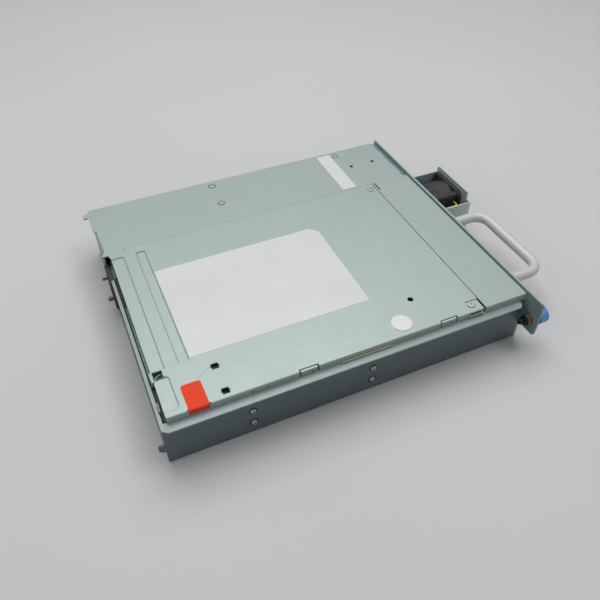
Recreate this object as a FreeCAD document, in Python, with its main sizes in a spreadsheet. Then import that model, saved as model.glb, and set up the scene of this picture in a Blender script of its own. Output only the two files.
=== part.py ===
import FreeCAD, Part
import math
import operator
import os
import Sketcher
from FreeCAD import Rotation, Vector

# A half-height data tape drive in its removable library sled.
# Millimetres. +X runs from the cartridge mouth to the rear panel with the handle, +Z is up,
# and -Y is the side of the drive's own side screws. The origin is the middle of the tray's underside.

doc = FreeCAD.newDocument("TapeDriveSled")
sheet = doc.addObject("Spreadsheet::Sheet", "Sizes")
SIGNS = {"+": operator.add, "-": operator.sub, "*": operator.mul, "/": operator.truediv}


class Size:
    # A number together with the formula that keeps it bound to the sheet's cells.
    def __init__(self, number, formula):
        self.number = number
        self.formula = formula

    def __add__(self, other):
        return joined(self, other, "+")

    def __sub__(self, other):
        return joined(self, other, "-")

    def __mul__(self, other):
        return joined(self, other, "*")

    def __truediv__(self, other):
        return joined(self, other, "/")

    def __radd__(self, other):
        return joined(other, self, "+")

    def __rsub__(self, other):
        return joined(other, self, "-")

    def __rmul__(self, other):
        return joined(other, self, "*")

    def __neg__(self):
        return joined(0, self, "-")


def as_size(value):
    return value if isinstance(value, Size) else Size(float(value), str(value))


def joined(left, right, sign):
    left = as_size(left)
    right = as_size(right)
    number = SIGNS[sign](left.number, right.number)
    return Size(number, f"({left.formula} {sign} {right.formula})")


def root_of(value):
    return Size(math.sqrt(value.number), f"sqrt({value.formula})")


row = 0


def cell(alias, number, note):
    # One row of the sheet: name, number and what it is.
    global row
    row += 1
    sheet.set(f"A{row}", alias)
    sheet.set(f"B{row}", str(number))
    sheet.set(f"C{row}", note)
    sheet.setAlias(f"B{row}", alias)
    return Size(float(number), f"Sizes.{alias}")


# ---------- driving sizes ----------
sledLength = cell("sledLength", 255, "front plate to rear panel")
sledWidth = cell("sledWidth", 215, "over the two side walls")
sledHeight = cell("sledHeight", 43, "underside to the top of the covers")
sheetThick = cell("sheetThick", 1, "folded steel sheet")
bendRadius = cell("bendRadius", 0.9, "outside radius of a fold")
railWidth = cell("railWidth", 6, "guide rail beside each wall")
railDrop = cell("railDrop", 5, "rail below the covers")
railStop = cell("railStop", 5.5, "rail end ahead of the rear panel")
railRound = cell("railRound", 2.5, "corner of the rail's rear end")
panelThick = cell("panelThick", 1.5, "rear panel")
panelRise = cell("panelRise", 2, "rear panel above the covers")
earReach = cell("earReach", 16, "ear of the rear panel beside the wall")
nearEarFoot = cell("nearEarFoot", 16, "lowest edge of the near ear")
farEarTop = cell("farEarTop", 24, "highest edge of the far ear")
seamGap = cell("seamGap", 0.6, "open seam behind the drive's cover")
closeSeam = cell("closeSeam", 0.15, "tight seam beside the drive's cover")
slipGap = cell("slipGap", 0.4, "between pieces that slide past each other")
runGap = cell("runGap", 0.05, "radial play of a pin in its bore")
screwGap = cell("screwGap", 0.1, "radial play of a screw in its hole")

coverInset = cell("coverInset", 4.5, "cover edge behind the front plate")
driveCoverLong = cell("driveCoverLong", 216.5, "the drive's own cover")
driveCoverWide = cell("driveCoverWide", 157.5, "the drive's own cover, to the seam")
coverRearGap = cell("coverRearGap", 0.5, "cover edge to the rear panel")
embossDeep = cell("embossDeep", 1, "pressed channels of the cover")
channelLong = cell("channelLong", 112.7, "pressed channels, along Y")
channelFarGap = cell("channelFarGap", 8.8, "channel end to the seam")
mouthChannelWide = cell("mouthChannelWide", 8.5, "pressed channel at the mouth edge")
midChannelPlace = cell("midChannelPlace", 18, "second channel behind the cover's edge")
midChannelWide = cell("midChannelWide", 6, "second channel")
cornerPadLong = cell("cornerPadLong", 24.4, "pressed corner pad, along Y")
cornerPadGap = cell("cornerPadGap", 5, "corner pad to the near wall")
windowWide = cell("windowWide", 6, "window between pad and channel")
squareHole = cell("squareHole", 4.6, "square holes of the cover")
roundHole = cell("roundHole", 2.1, "radius of the cover's round hole")

driveGap = cell("driveGap", 1, "drive case to the tray's near wall")
driveInset = cell("driveInset", 5, "drive case behind the front plate")
driveWidth = cell("driveWidth", 146, "half-height drive case")
driveLength = cell("driveLength", 206, "half-height drive case")
driveBase = cell("driveBase", 3, "floor of the cast frame")
driveWall = cell("driveWall", 1.6, "side walls of the cast frame")
boardThick = cell("boardThick", 1.6, "circuit boards")
boardDrop = cell("boardDrop", 3.8, "main board's top below the cover's top")
chipHigh = cell("chipHigh", 1.4, "chips on the main board")

mouthLow = cell("mouthLow", 10.5, "floor of the cartridge mouth")
mouthHigh = cell("mouthHigh", 23, "height of the cartridge mouth")
mouthWide = cell("mouthWide", 107.8, "width of the cartridge mouth")
mouthFrameThick = cell("mouthFrameThick", 2, "moulded mouth frame")
frontWallWide = cell("frontWallWide", 132, "front plate ahead of the drive")
frontHem = cell("frontHem", 2.1, "folded top edge of the front plate")
dockWide = cell("dockWide", 23, "open bay of the docking connector")

trayThick = cell("trayThick", 0.8, "sheet of the cartridge tray and carriage")
trayLong = cell("trayLong", 82, "cartridge tray")
trayHigh = cell("trayHigh", 24.6, "cartridge tray")
loadTravel = cell("loadTravel", 18, "inward travel of the carriage")
dropTravel = cell("dropTravel", 3.5, "drop of the tray onto the hub")
hubRadius = cell("hubRadius", 13, "supply hub")
hubHigh = cell("hubHigh", 3.2, "supply hub")
hubInset = cell("hubInset", 60.5, "supply hub behind the front plate")
statorRadius = cell("statorRadius", 15, "flat stators under hub and reel")
statorHigh = cell("statorHigh", 1.4, "flat stators under hub and reel")
reelRadius = cell("reelRadius", 38, "take-up reel")
reelCore = cell("reelCore", 22, "core of the take-up reel")
reelHigh = cell("reelHigh", 18.2, "take-up reel")
reelInset = cell("reelInset", 157.5, "take-up reel behind the front plate")
rollerRadius = cell("rollerRadius", 5, "guide rollers")
rollerLip = cell("rollerLip", 6.5, "flanges of the guide rollers")
rollerHigh = cell("rollerHigh", 15, "guide rollers")
pinRadius = cell("pinRadius", 1.5, "pins of rollers and gear")
headTravel = cell("headTravel", 1.5, "head up and down from the middle")

gearTeeth = cell("gearTeeth", 10, "teeth of the loading gear")
pinionTeeth = cell("pinionTeeth", 8, "teeth of the motor pinion")
toothModule = cell("toothModule", 1, "gear module")
gearThick = cell("gearThick", 4, "face width of the loading gears")
gearInset = cell("gearInset", 67.5, "loading gear behind the front plate")
backlash = cell("backlash", 0.4, "side play of a tooth")

fanSize = cell("fanSize", 36, "square fan frame")
fanDeep = cell("fanDeep", 28, "square fan frame")
fanBore = cell("fanBore", 16.6, "radius of the fan's bore")
fanHub = cell("fanHub", 9, "radius of the impeller's hub")
fanScrewPlace = cell("fanScrewPlace", 14.5, "fan screws from the fan's axis")
bracketDeep = cell("bracketDeep", 33, "fan bracket behind the rear panel")
bracketWide = cell("bracketWide", 49, "fan bracket over its two walls")
bracketInset = cell("bracketInset", 112, "fan bracket from the near wall")
bracketNearTop = cell("bracketNearTop", 34.5, "top of the bracket's near wall")
bracketFarTop = cell("bracketFarTop", 36, "top of the bracket's far wall")
grilleTop = cell("grilleTop", 41, "top of the grille plate")
grilleStep = cell("grilleStep", 5.3, "low shoulder of the grille plate")

handleSpan = cell("handleSpan", 73, "between the handle's legs")
handleInset = cell("handleInset", 29, "near leg from the near wall")
handleHeight = cell("handleHeight", 27, "handle axis above the underside")
handleReach = cell("handleReach", 38.5, "handle axis from the rear panel")
handleRadius = cell("handleRadius", 4, "handle bar")
handleBend = cell("handleBend", 11, "bends of the handle")

thumbHeight = cell("thumbHeight", 26, "near captive screw above the underside")
thumbOut = cell("thumbOut", 8.3, "captive screws beside the walls")
farThumbHeight = cell("farThumbHeight", 12, "far captive screw above the underside")
thumbPull = cell("thumbPull", 1.5, "loose travel of a captive screw")
shankRadius = cell("shankRadius", 2, "shank of a captive screw")
shankFree = cell("shankFree", 5, "shank beyond its retaining ring")
knobRadius = cell("knobRadius", 5.9, "thumb knob")
knobLong = cell("knobLong", 7, "thumb knob")
ferruleRadius = cell("ferruleRadius", 4, "press-in ferrule")
ferruleLong = cell("ferruleLong", 3.5, "ferrule inside the panel")
washerThick = cell("washerThick", 1, "washer under the knob")

portInset = cell("portInset", 187.5, "host ports from the near wall")
portWide = cell("portWide", 38, "shell of a host port")
portHigh = cell("portHigh", 9, "shell of a host port")
portReach = cell("portReach", 5.2, "shell of a host port")
portBody = cell("portBody", 12, "port body inside the panel")
lowPortHeight = cell("lowPortHeight", 13.6, "lower port above the underside")
highPortHeight = cell("highPortHeight", 31, "upper port above the underside")
jackSpan = cell("jackSpan", 46, "between the jack posts of a port")
jackBore = cell("jackBore", 1.2, "radius of a jack post's thread bore")

headRadius = cell("headRadius", 2.9, "screw heads")
headHigh = cell("headHigh", 1.2, "screw heads")
screwRadius = cell("screwRadius", 1.5, "screw shanks")
sideScrewFirst = cell("sideScrewFirst", 55.5, "first side screws behind the front plate")
sideScrewSpan = cell("sideScrewSpan", 83, "between the side screw pairs")
sideScrewLow = cell("sideScrewLow", 10, "lower side screws above the underside")
sideScrewRise = cell("sideScrewRise", 11.5, "between the screws of a pair")
postFlats = cell("postFlats", 4.4, "hexagonal cover posts across flats")
dockPin = cell("dockPin", 1.8, "radius of the docking guide pins")
dockPinReach = cell("dockPinReach", 5.1, "guide pins ahead of the front plate")
leadRadius = cell("leadRadius", 0.65, "fan leads")

tabTop = cell("tabTop", 19, "top of the near front tab")
flangeSlots = cell("flangeSlots", 1.3, "slots at the fold of the panel's flange")
socketZ = cell("socketHeight", 29, "fan socket above the underside")
clipWide = cell("clipWide", 13, "clip slits of the near flange")
blades = cell("bladeCount", 7, "impeller blades")
acrossFlats = cell("jackFlats", 4.8, "hexagon of the jack posts across flats")
dockLow = cell("dockLow", 8, "docking connector above the underside")
dockHigh = cell("dockHigh", 28, "docking connector")
lip = cell("ledgeLip", 1.4, "lip beside the carriage's rails")
armRadius = cell("armPost", 2.5, "post of the threader arm")
armReach = cell("armReach", 31.4, "threader arm from its post to its grip")
armRest = cell("armRest", 99, "threader arm's resting direction, degrees from +X")
headPost = cell("headPost", 1.2, "radius of the head's two posts")
headPair = cell("headPair", 4.8, "between the head's posts")
slotReach = cell("pinRadiusTray", 1, "guide pins of the cartridge tray")
rackTeeth = cell("rackTeeth", 10, "teeth of the loader's rack")
ribbonThick = cell("ribbonThick", 0.9, "flat ribbons")
ribbonBend = cell("ribbonBend", 2.5, "inside bends of the flat ribbons")
grilleSpokes = cell("grilleSpokes", 4, "spokes of the punched finger guard")
hubTeeth = cell("hubTeeth", 15, "driving teeth of the supply hub")

# ---------- places worked out from them ----------
front = -sledLength / 2
rear = sledLength / 2
near = -sledWidth / 2
far = sledWidth / 2
coverUnder = sledHeight - sheetThick
railTop = sledHeight - railDrop
panelOut = rear + panelThick
coverFront = front + coverInset
driveCoverRear = coverFront + driveCoverLong
seam = near + driveCoverWide
driveNear = near + sheetThick + driveGap
driveFar = driveNear + driveWidth
driveFront = front + driveInset
driveRear = driveFront + driveLength
driveFloor = sheetThick + driveBase
boardTop = sledHeight - boardDrop
boardUnder = boardTop - boardThick
mouthMiddle = driveNear + driveWidth / 2
mouthNear = mouthMiddle - mouthWide / 2
mouthFar = mouthMiddle + mouthWide / 2
frontWallFar = near + frontWallWide
dockFar = frontWallFar + dockWide
trayFront = driveFront + 4
trayRear = trayFront + trayLong
trayNear = mouthNear - trayThick
trayFar = mouthFar + trayThick
trayFloor = mouthLow - slipGap - trayThick
sideClear = slipGap * 3
carriageNear = trayNear - sideClear - trayThick
carriageFar = trayFar + sideClear
carriageLow = driveFloor + 8
carriageTop = carriageLow + 18
hubX = front + hubInset
reelX = front + reelInset
spindleY = mouthMiddle
statorTop = driveFloor + statorHigh
hubLow = statorTop + slipGap
reelLow = driveFloor + 5
reelTop = reelLow + reelHigh
gearX = front + gearInset
gearRadius = toothModule * gearTeeth / 2
pinionRadius = toothModule * pinionTeeth / 2
rackLine = carriageNear - toothModule * 1.4
gearY = rackLine - gearRadius
gearLow = driveFloor + 18
pinionY = driveNear + driveWall + pinionRadius + toothModule + slipGap
pinionX = gearX + root_of((gearRadius + pinionRadius) * (gearRadius + pinionRadius)
                          - (gearY - pinionY) * (gearY - pinionY))
bracketNear = near + bracketInset
bracketFar = bracketNear + bracketWide
bracketOut = panelOut + bracketDeep
fanBack = bracketOut - sheetThick
fanFront = fanBack - fanDeep
fanY = bracketFar - sheetThick - slipGap - fanSize / 2
fanZ = sheetThick + fanSize / 2
handleNear = near + handleInset
handleFar = handleNear + handleSpan
handleOut = panelOut + handleReach
nearThumbY = near - thumbOut
farThumbY = far + thumbOut
portY = near + portInset
dockFace = driveFront - boardThick

pieces = []


# ---------- small helpers ----------
def bind(thing, path, value):
    thing.setExpression(path, as_size(value).formula)


def put(thing, place):
    for axis, value in zip("xyz", place):
        bind(thing, f"Placement.Base.{axis}", value)


def box(name, low, high):
    block = doc.addObject("Part::Box", name)
    for side, start, end in zip(("Length", "Width", "Height"), low, high):
        bind(block, side, as_size(end) - start)
    put(block, low)
    return block


TURNS = {"X": Rotation(Vector(0, 1, 0), 90), "Y": Rotation(Vector(1, 0, 0), -90), "Z": Rotation()}


def rod(name, axis, start, radius, long):
    # A cylinder from start along +axis.
    round_bar = doc.addObject("Part::Cylinder", name)
    round_bar.Placement.Rotation = TURNS[axis]
    bind(round_bar, "Radius", radius)
    bind(round_bar, "Height", long)
    put(round_bar, start)
    return round_bar


def fused(name, parts):
    whole = doc.addObject("Part::MultiFuse", name)
    whole.Shapes = parts
    return whole


def hand_in(thing, label):
    # Names a finished sub-part and lists it for its STEP file.
    thing.Label = label
    pieces.append(thing)
    return thing


class Piece:
    # A PartDesign body whose sketches and features stay bound to the sheet.
    def __init__(self, label, place=(0, 0, 0)):
        self.body = doc.addObject("PartDesign::Body", label + "_body")
        self.step = 0
        put(self.body, place)
        hand_in(self.body, label)

    def named(self, kind):
        self.step += 1
        return f"{self.body.Label}_{kind}{self.step}"

    def origin(self, role):
        return next(item for item in self.body.Origin.OriginFeatures if item.Role == role)

    def sketch(self, plane, level):
        drawing = self.body.newObject("Sketcher::SketchObject", self.named("sketch"))
        drawing.AttachmentSupport = (self.origin(plane + "_Plane"), "")
        drawing.MapMode = "FlatFace"
        bind(drawing, "AttachmentOffset.Base.z", -as_size(level) if plane == "XZ" else level)
        return drawing

    def fix(self, drawing, kind, *place, value):
        number = drawing.addConstraint(Sketcher.Constraint(kind, *place, as_size(value).number))
        drawing.setExpression(f"Constraints[{number}]", as_size(value).formula)

    def outline(self, drawing, points):
        # A closed run of straight lines through points, each held from the origin.
        first = drawing.GeometryCount
        count = len(points)
        spots = [Vector(as_size(a).number, as_size(b).number, 0) for a, b in points]
        for index in range(count):
            drawing.addGeometry(Part.LineSegment(spots[index], spots[(index + 1) % count]))
        for index in range(count):
            after = first + (index + 1) % count
            drawing.addConstraint(Sketcher.Constraint("Coincident", first + index, 2, after, 1))
        for index, (a, b) in enumerate(points):
            self.fix(drawing, "DistanceX", -1, 1, first + index, 1, value=a)
            self.fix(drawing, "DistanceY", -1, 1, first + index, 1, value=b)

    def ring(self, drawing, a, b, radius):
        middle = Vector(as_size(a).number, as_size(b).number, 0)
        index = drawing.addGeometry(Part.Circle(middle, Vector(0, 0, 1), as_size(radius).number))
        self.fix(drawing, "Radius", index, value=radius)
        self.fix(drawing, "DistanceX", -1, 1, index, 3, value=a)
        self.fix(drawing, "DistanceY", -1, 1, index, 3, value=b)

    def draw(self, plane, level, outlines, rings):
        drawing = self.sketch(plane, level)
        for points in outlines:
            self.outline(drawing, points)
        for a, b, radius in rings:
            self.ring(drawing, a, b, radius)
        return drawing

    def pad(self, plane, low, thick, outlines=(), rings=()):
        # Adds material from low to low + thick along the plane's axis.
        drawing = self.draw(plane, low, outlines, rings)
        feature = self.body.newObject("PartDesign::Pad", self.named("pad"))
        feature.Profile = drawing
        feature.Reversed = plane == "XZ"
        bind(feature, "Length", thick)
        return self.done(feature, drawing)

    def pocket(self, plane, low, thick, outlines=(), rings=()):
        # Takes material away from low to low + thick along the plane's axis.
        before = self.body.Shape.Volume
        level = low if plane == "XZ" else as_size(low) + thick
        drawing = self.draw(plane, level, outlines, rings)
        feature = self.body.newObject("PartDesign::Pocket", self.named("pocket"))
        feature.Profile = drawing
        bind(feature, "Length", thick)
        self.done(feature, drawing)
        if self.body.Shape.Volume > before - 0.01:
            raise ValueError(f"{feature.Name} cuts nothing")
        return feature

    def turn(self, plane, axis, outlines):
        # A solid of revolution about one of the body's axes.
        drawing = self.draw(plane, 0, outlines, ())
        feature = self.body.newObject("PartDesign::Revolution", self.named("turn"))
        feature.Profile = drawing
        feature.ReferenceAxis = (self.origin(axis + "_Axis"), [""])
        feature.Angle = 360
        return self.done(feature, drawing)

    def pipe(self, level, corners, bend, radius, sides=0):
        # A round bar, or one of so many sides, along a level route whose corners are arcs of radius bend.
        route = self.sketch("XY", level)
        steps = [(sign(b[0], a[0]), sign(b[1], a[1])) for a, b in zip(corners, corners[1:])]
        start = corners[0]
        last = None
        for index, (step, end) in enumerate(zip(steps, corners[1:])):
            turning = index + 1 < len(steps)
            stop = (end[0] - bend * step[0], end[1] - bend * step[1]) if turning else end
            run = self.held_line(route, start, stop)
            if last is not None:
                route.addConstraint(Sketcher.Constraint("Coincident", last[0], last[1], run, 1))
            if turning:
                after = steps[index + 1]
                start = (end[0] + bend * after[0], end[1] + bend * after[1])
                middle = (stop[0] + bend * after[0], stop[1] + bend * after[1])
                last = self.held_arc(route, run, stop, start, middle, bend)
        shape_plane = "YZ" if steps[0][0] else "XZ"
        along_route, across = (corners[0][0], corners[0][1]) if steps[0][0] else corners[0][::-1]
        if sides:
            turns = [2 * math.pi * (step + 0.5) / sides for step in range(sides)]
            section = self.draw(shape_plane, along_route, [
                [(across + radius * math.cos(turn), level + radius * math.sin(turn)) for turn in turns]], ())
        else:
            section = self.draw(shape_plane, along_route, (), [(across, level, radius)])
        feature = self.body.newObject("PartDesign::AdditivePipe", self.named("pipe"))
        feature.Profile = section
        feature.Spine = route
        route.Visibility = False
        print(self.body.Label, "bend radius", as_size(bend).number)
        return self.done(feature, section)

    def held_line(self, drawing, start, stop):
        ends = [Vector(as_size(a).number, as_size(b).number, 0) for a, b in (start, stop)]
        index = drawing.addGeometry(Part.LineSegment(*ends))
        for point, (a, b) in enumerate((start, stop), 1):
            self.fix(drawing, "DistanceX", -1, 1, index, point, value=a)
            self.fix(drawing, "DistanceY", -1, 1, index, point, value=b)
        return index

    def held_arc(self, drawing, run, start, stop, middle, bend):
        # A quarter arc that leaves the line run at its end; gives back its free end.
        a, b, c = [Vector(as_size(x).number, as_size(y).number, 0) for x, y in (start, stop, middle)]
        left = (a - c).cross(b - c).z > 0
        first, second = (a, b) if left else (b, a)
        angles = [math.atan2((spot - c).y, (spot - c).x) for spot in (first, second)]
        if angles[1] < angles[0]:
            angles[1] += 2 * math.pi
        circle = Part.Circle(c, Vector(0, 0, 1), as_size(bend).number)
        index = drawing.addGeometry(Part.ArcOfCircle(circle, *angles))
        near_end, free_end = (1, 2) if left else (2, 1)
        drawing.addConstraint(Sketcher.Constraint("Coincident", run, 2, index, near_end))
        self.fix(drawing, "Radius", index, value=bend)
        return index, free_end

    def around(self, feature, axis, copies):
        pattern = self.body.newObject("PartDesign::PolarPattern", self.named("around"))
        pattern.Originals = [feature]
        pattern.Axis = (self.origin(axis + "_Axis"), [""])
        pattern.Angle = 360
        pattern.Occurrences = int(as_size(copies).number)
        bind(pattern, "Occurrences", copies)
        self.body.Tip = pattern
        return self.done(pattern)

    def along(self, feature, axis, copies, length):
        pattern = self.body.newObject("PartDesign::LinearPattern", self.named("along"))
        pattern.Originals = [feature]
        pattern.Direction = (self.origin(axis + "_Axis"), [""])
        bind(pattern, "Length", length)
        pattern.Occurrences = copies
        self.body.Tip = pattern
        return self.done(pattern)

    def dress(self, kind, size, chosen):
        # Fillet or Chamfer on the edges for which chosen(edge) is true.
        edges = [f"Edge{index + 1}" for index, edge in enumerate(self.body.Shape.Edges) if chosen(edge)]
        base = self.body.Tip
        feature = self.body.newObject(f"PartDesign::{kind}", self.named(kind.lower()))
        feature.Base = (base, edges)
        bind(feature, "Radius" if kind == "Fillet" else "Size", size)
        self.body.Tip = feature
        return self.done(feature)

    def done(self, feature, drawing=None):
        if drawing:
            drawing.Visibility = False
        doc.recompute()
        return feature


def sign(after, before):
    gap = as_size(after).number - as_size(before).number
    return 0 if abs(gap) < 1e-6 else math.copysign(1, gap)


def square(low, high):
    # The four corners of a rectangle.
    return [(low[0], low[1]), (high[0], low[1]), (high[0], high[1]), (low[0], high[1])]


def runs_along(edge, axis):
    # True for a straight edge that lies along axis.
    if edge.Curve.TypeId != "Part::GeomLine":
        return False
    return abs(getattr(edge.tangentAt(edge.FirstParameter), axis)) > 0.99


def lies_at(edge, axis, *places):
    middle = getattr(edge.CenterOfMass, axis)
    return any(abs(middle - as_size(place).number) < 0.02 for place in places)


# ---------- tray and rear panel ----------
tray = Piece("sled_tray")
tray.pad("YZ", front, sledLength, [[
    (near, 0), (far, 0), (far, railTop), (far - sheetThick, railTop), (far - sheetThick, sheetThick),
    (near + sheetThick, sheetThick), (near + sheetThick, railTop), (near, railTop)]])
railLong = sledLength - railStop
for wall, edge in ((near, near - railWidth), (far, far + railWidth)):
    tray.pad("XY", railTop - sheetThick, sheetThick, [[
        (front + 3.5, edge), (front + railLong - railRound, edge), (front + railLong, edge
         + railRound * sign(wall, edge)), (front + railLong, wall), (front, wall),
        (front, edge + 2.6 * sign(wall, edge))]])
tray.pad("YZ", front, sheetThick, [
    [(near, 0), (frontWallFar, 0), (frontWallFar, railTop), (near, railTop)],
    square((mouthNear - 1.5, mouthLow - 1), (mouthFar + 1.5, mouthLow + mouthHigh + 0.5))])
tray.pad("YZ", front, sheetThick, [square((dockFar, 0), (far, coverUnder))])
tray.pad("YZ", front + sheetThick, frontHem - sheetThick, [
    square((near + sheetThick, railTop - 3), (frontWallFar, railTop))])
tray.pad("XZ", near, sheetThick, [[
    (front - 4, tabTop), (front, tabTop), (front, tabTop - 7), (front - 2, tabTop - 7),
    (front - 4, tabTop - 5)]])
baseHoles = [(driveFront + 32 + along, mouthMiddle + 69.85) for along in (0, 79.2)]
tray.pocket("XY", 0, sheetThick, [], [(x, y, screwRadius + screwGap) for x, y in baseHoles])
tray.pocket("XY", 0, 0.8, [], [(x, y, headRadius + screwGap) for x, y in baseHoles])
tray.pocket("XZ", near, sheetThick, [], [
    (front + sideScrewFirst + along, sideScrewLow + up, screwRadius + screwGap)
    for along in (0, sideScrewSpan) for up in (0, sideScrewRise)])
tray.dress("Fillet", bendRadius, lambda edge: runs_along(edge, "x") and lies_at(edge, "z", 0)
           and lies_at(edge, "y", near, far))

panel = Piece("rear_panel")
panelTop = sledHeight + panelRise
panel.pad("YZ", rear, panelThick, [[
    (near, 0), (far + earReach, 0), (far + earReach, farEarTop), (far, farEarTop), (far, panelTop),
    (near - earReach, panelTop), (near - earReach, nearEarFoot), (near, nearEarFoot)]])
panel.dress("Fillet", railRound, lambda edge: runs_along(edge, "x")
            and lies_at(edge, "y", near - earReach, far + earReach))
panel.pad("XY", coverUnder - sheetThick, sheetThick, [square((rear - 10.5, seam + 1), (rear, far - 1.5))])
panel.pocket("XY", coverUnder - sheetThick, sheetThick, [
    square((rear - 3.4, seam + start), (rear - 3.4 + flangeSlots, seam + stop))
    for start, stop in ((3, 8), (17.6, 34.7), (44, 50))])
panel.pocket("YZ", rear, panelThick, [
    square((portY - portWide / 2 - slipGap, height - portHigh / 2 - slipGap),
           (portY + portWide / 2 + slipGap, height + portHigh / 2 + slipGap))
    for height in (lowPortHeight, highPortHeight)], [
    (portY + jackSpan * side, height, jackBore + 0.5)
    for height in (lowPortHeight, highPortHeight) for side in (-0.5, 0.5)])
panel.pocket("YZ", rear, panelThick, [], [(fanY, fanZ, fanBore)])
panel.pocket("YZ", rear, panelThick, [], [
    (handleNear, handleHeight, screwRadius + screwGap), (handleFar, handleHeight, screwRadius + screwGap),
    (nearThumbY, thumbHeight, ferruleRadius + screwGap), (farThumbY, farThumbHeight, ferruleRadius + screwGap)])
socketY = bracketNear + 5.5
panel.pocket("YZ", rear, panelThick, [
    square((socketY - 3, socketZ - 2.5), (socketY + 3, socketZ + 2.5))])

# ---------- covers ----------
lid = Piece("drive_cover")
nibY = seam - 3.7
lidStep = driveCoverRear - 1.2
slitY = near + 9.2
lid.pad("XY", coverUnder, sheetThick, [[
    (coverFront, near), (lidStep, near), (lidStep, slitY), (lidStep - 9.2, slitY), (lidStep - 9.2, slitY + 0.6),
    (driveCoverRear, slitY + 0.6), (driveCoverRear, seam), (coverFront + 11.3, seam),
    (coverFront + 11.3, nibY - 0.15), (coverFront - 1.1, nibY - 0.15), (coverFront, nibY - 4.2)]])
channelFar = seam - channelFarGap
channelNear = channelFar - channelLong
midChannel = coverFront + midChannelPlace
padNear = near + cornerPadGap
padFar = padNear + cornerPadLong
pressed = [
    ((coverFront, channelNear), (coverFront + mouthChannelWide, channelFar)),
    ((midChannel, channelNear + 1), (midChannel + midChannelWide, channelFar + 0.6)),
    ((coverFront, padNear), (coverFront + mouthChannelWide + 0.4, padFar))]
for low, high in pressed:
    skirt = 0 if low[0] is coverFront else sheetThick
    lid.pad("XY", coverUnder - embossDeep, embossDeep, [square(
        (low[0] - skirt, low[1] - sheetThick), (high[0] + sheetThick, high[1] + sheetThick))])
lid.pocket("XY", coverUnder, sheetThick, [square(low, high) for low, high in pressed])
lid.dress("Fillet", 2, lambda edge: runs_along(edge, "z") and lies_at(edge, "x", pressed[2][1][0])
          and lies_at(edge, "y", padNear, padFar) and lies_at(edge, "z", sledHeight - sheetThick / 2))
lid.dress("Chamfer", 0.6, lambda edge: lies_at(edge, "z", sledHeight) and any(
    as_size(low[0]).number - 0.1 < edge.CenterOfMass.x < as_size(high[0]).number + 0.1
    and as_size(low[1]).number - 0.1 < edge.CenterOfMass.y < as_size(high[1]).number + 0.1
    for low, high in pressed))
windowX = coverFront + 0.5
lid.pocket("XY", coverUnder - embossDeep, embossDeep + sheetThick, [
    square((windowX, padFar - 0.4), (windowX + windowWide, channelNear - 0.2))])
squareMid = coverFront + 37
halfHole = squareHole / 2
for along in (near + 25.3, near + 5.2):
    lid.pocket("XY", coverUnder, sheetThick, [
        [(squareMid - halfHole, along - halfHole), (squareMid + halfHole, along - halfHole),
         (squareMid + halfHole, along - 0.5), (squareMid + halfHole + 0.7, along - 0.5),
         (squareMid + halfHole + 0.7, along + 0.5), (squareMid + halfHole, along + 0.5),
         (squareMid + halfHole, along + halfHole), (squareMid - halfHole, along + halfHole),
         (squareMid - halfHole, along + 0.5), (squareMid - halfHole - 0.7, along + 0.5),
         (squareMid - halfHole - 0.7, along - 0.5), (squareMid - halfHole, along - 0.5)]])
lid.pocket("XY", coverUnder, sheetThick, [], [(coverFront + 175, near + 27, roundHole)])
lid.pad("XZ", near, sheetThick, [square((coverFront, railTop), (lidStep, coverUnder))])
clipPlaces = [coverFront + 88.5, coverFront + 188.5]
lid.pocket("XY", coverUnder, sheetThick, [], [
    (driveCoverRear - 7.6, near + 5.9, screwRadius + screwGap),
    (driveCoverRear - 4.8, seam - 7.4, screwRadius + screwGap)])
lid.dress("Fillet", bendRadius, lambda edge: runs_along(edge, "x") and lies_at(edge, "z", sledHeight)
          and lies_at(edge, "y", near))
lid.pocket("XY", railTop, sledHeight - railTop, [
    square((place - clipWide / 2, near), (place + clipWide / 2, near + 2)) for place in clipPlaces])
lid.pocket("XY", coverUnder - 0.6, sheetThick + 0.6, [
    square((coverFront + place, near), (coverFront + place + 0.8, near + 1.1)) for place in (12.2, 25.8)])
lid.pocket("XZ", near, sheetThick, [
    square((driveCoverRear - 12, railTop + 2), (lidStep, coverUnder - 0.2))], [
    (coverFront + place, railTop + 2, 0.8) for place in (52, 61.3)])
lid.pad("XZ", near - 0.8, 1.3, [square((driveCoverRear - 12, railTop + 1.2), (lidStep, railTop + 2))])

shell = Piece("sled_cover")
stripFront = driveCoverRear + seamGap
shellRear = rear - coverRearGap
seamFar = seam + closeSeam
shell.pad("XY", coverUnder, sheetThick, [[
    (stripFront, near), (shellRear, near), (shellRear, seam), (shellRear - 3, seam), (shellRear - 3, far),
    (front + 1.6, far), (front - 1.5, far - 2.8), (front - 1.5, far - 5), (front - 5.4, far - 5),
    (front - 5.4, far - 10), (front - 1.6, far - 10), (front - 1.6, far - 28), (front + 0.9, far - 30),
    (front + 1.4, seam + 1.4), (front - 1.2, nibY), (coverFront + 11.15, nibY),
    (coverFront + 11.15, seamFar), (stripFront, seamFar)]])
shell.pad("XZ", near, sheetThick, [square((stripFront, railTop), (shellRear, coverUnder))])
shell.pad("XZ", far - sheetThick, sheetThick, [square((front + 1.6, railTop), (shellRear - 3, coverUnder))])
shell.pocket("XY", coverUnder, sheetThick, [
    square((stripFront + 1.4, seam - 10), (stripFront + 2.5, seam - 0.2))], [
    (rear - 37.1, far - 27.2, 1.5), (rear - 16.8, far - 27.2, 1.5),
    (coverFront + 94.9, far - 7.4, screwRadius + screwGap), (coverFront + 94.7, far - 32.6, screwRadius + screwGap),
    (rear - 42.9, far - 7, screwRadius + screwGap)])
shell.dress("Fillet", bendRadius, lambda edge: runs_along(edge, "x") and lies_at(edge, "z", sledHeight)
            and lies_at(edge, "y", near, far))
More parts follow.
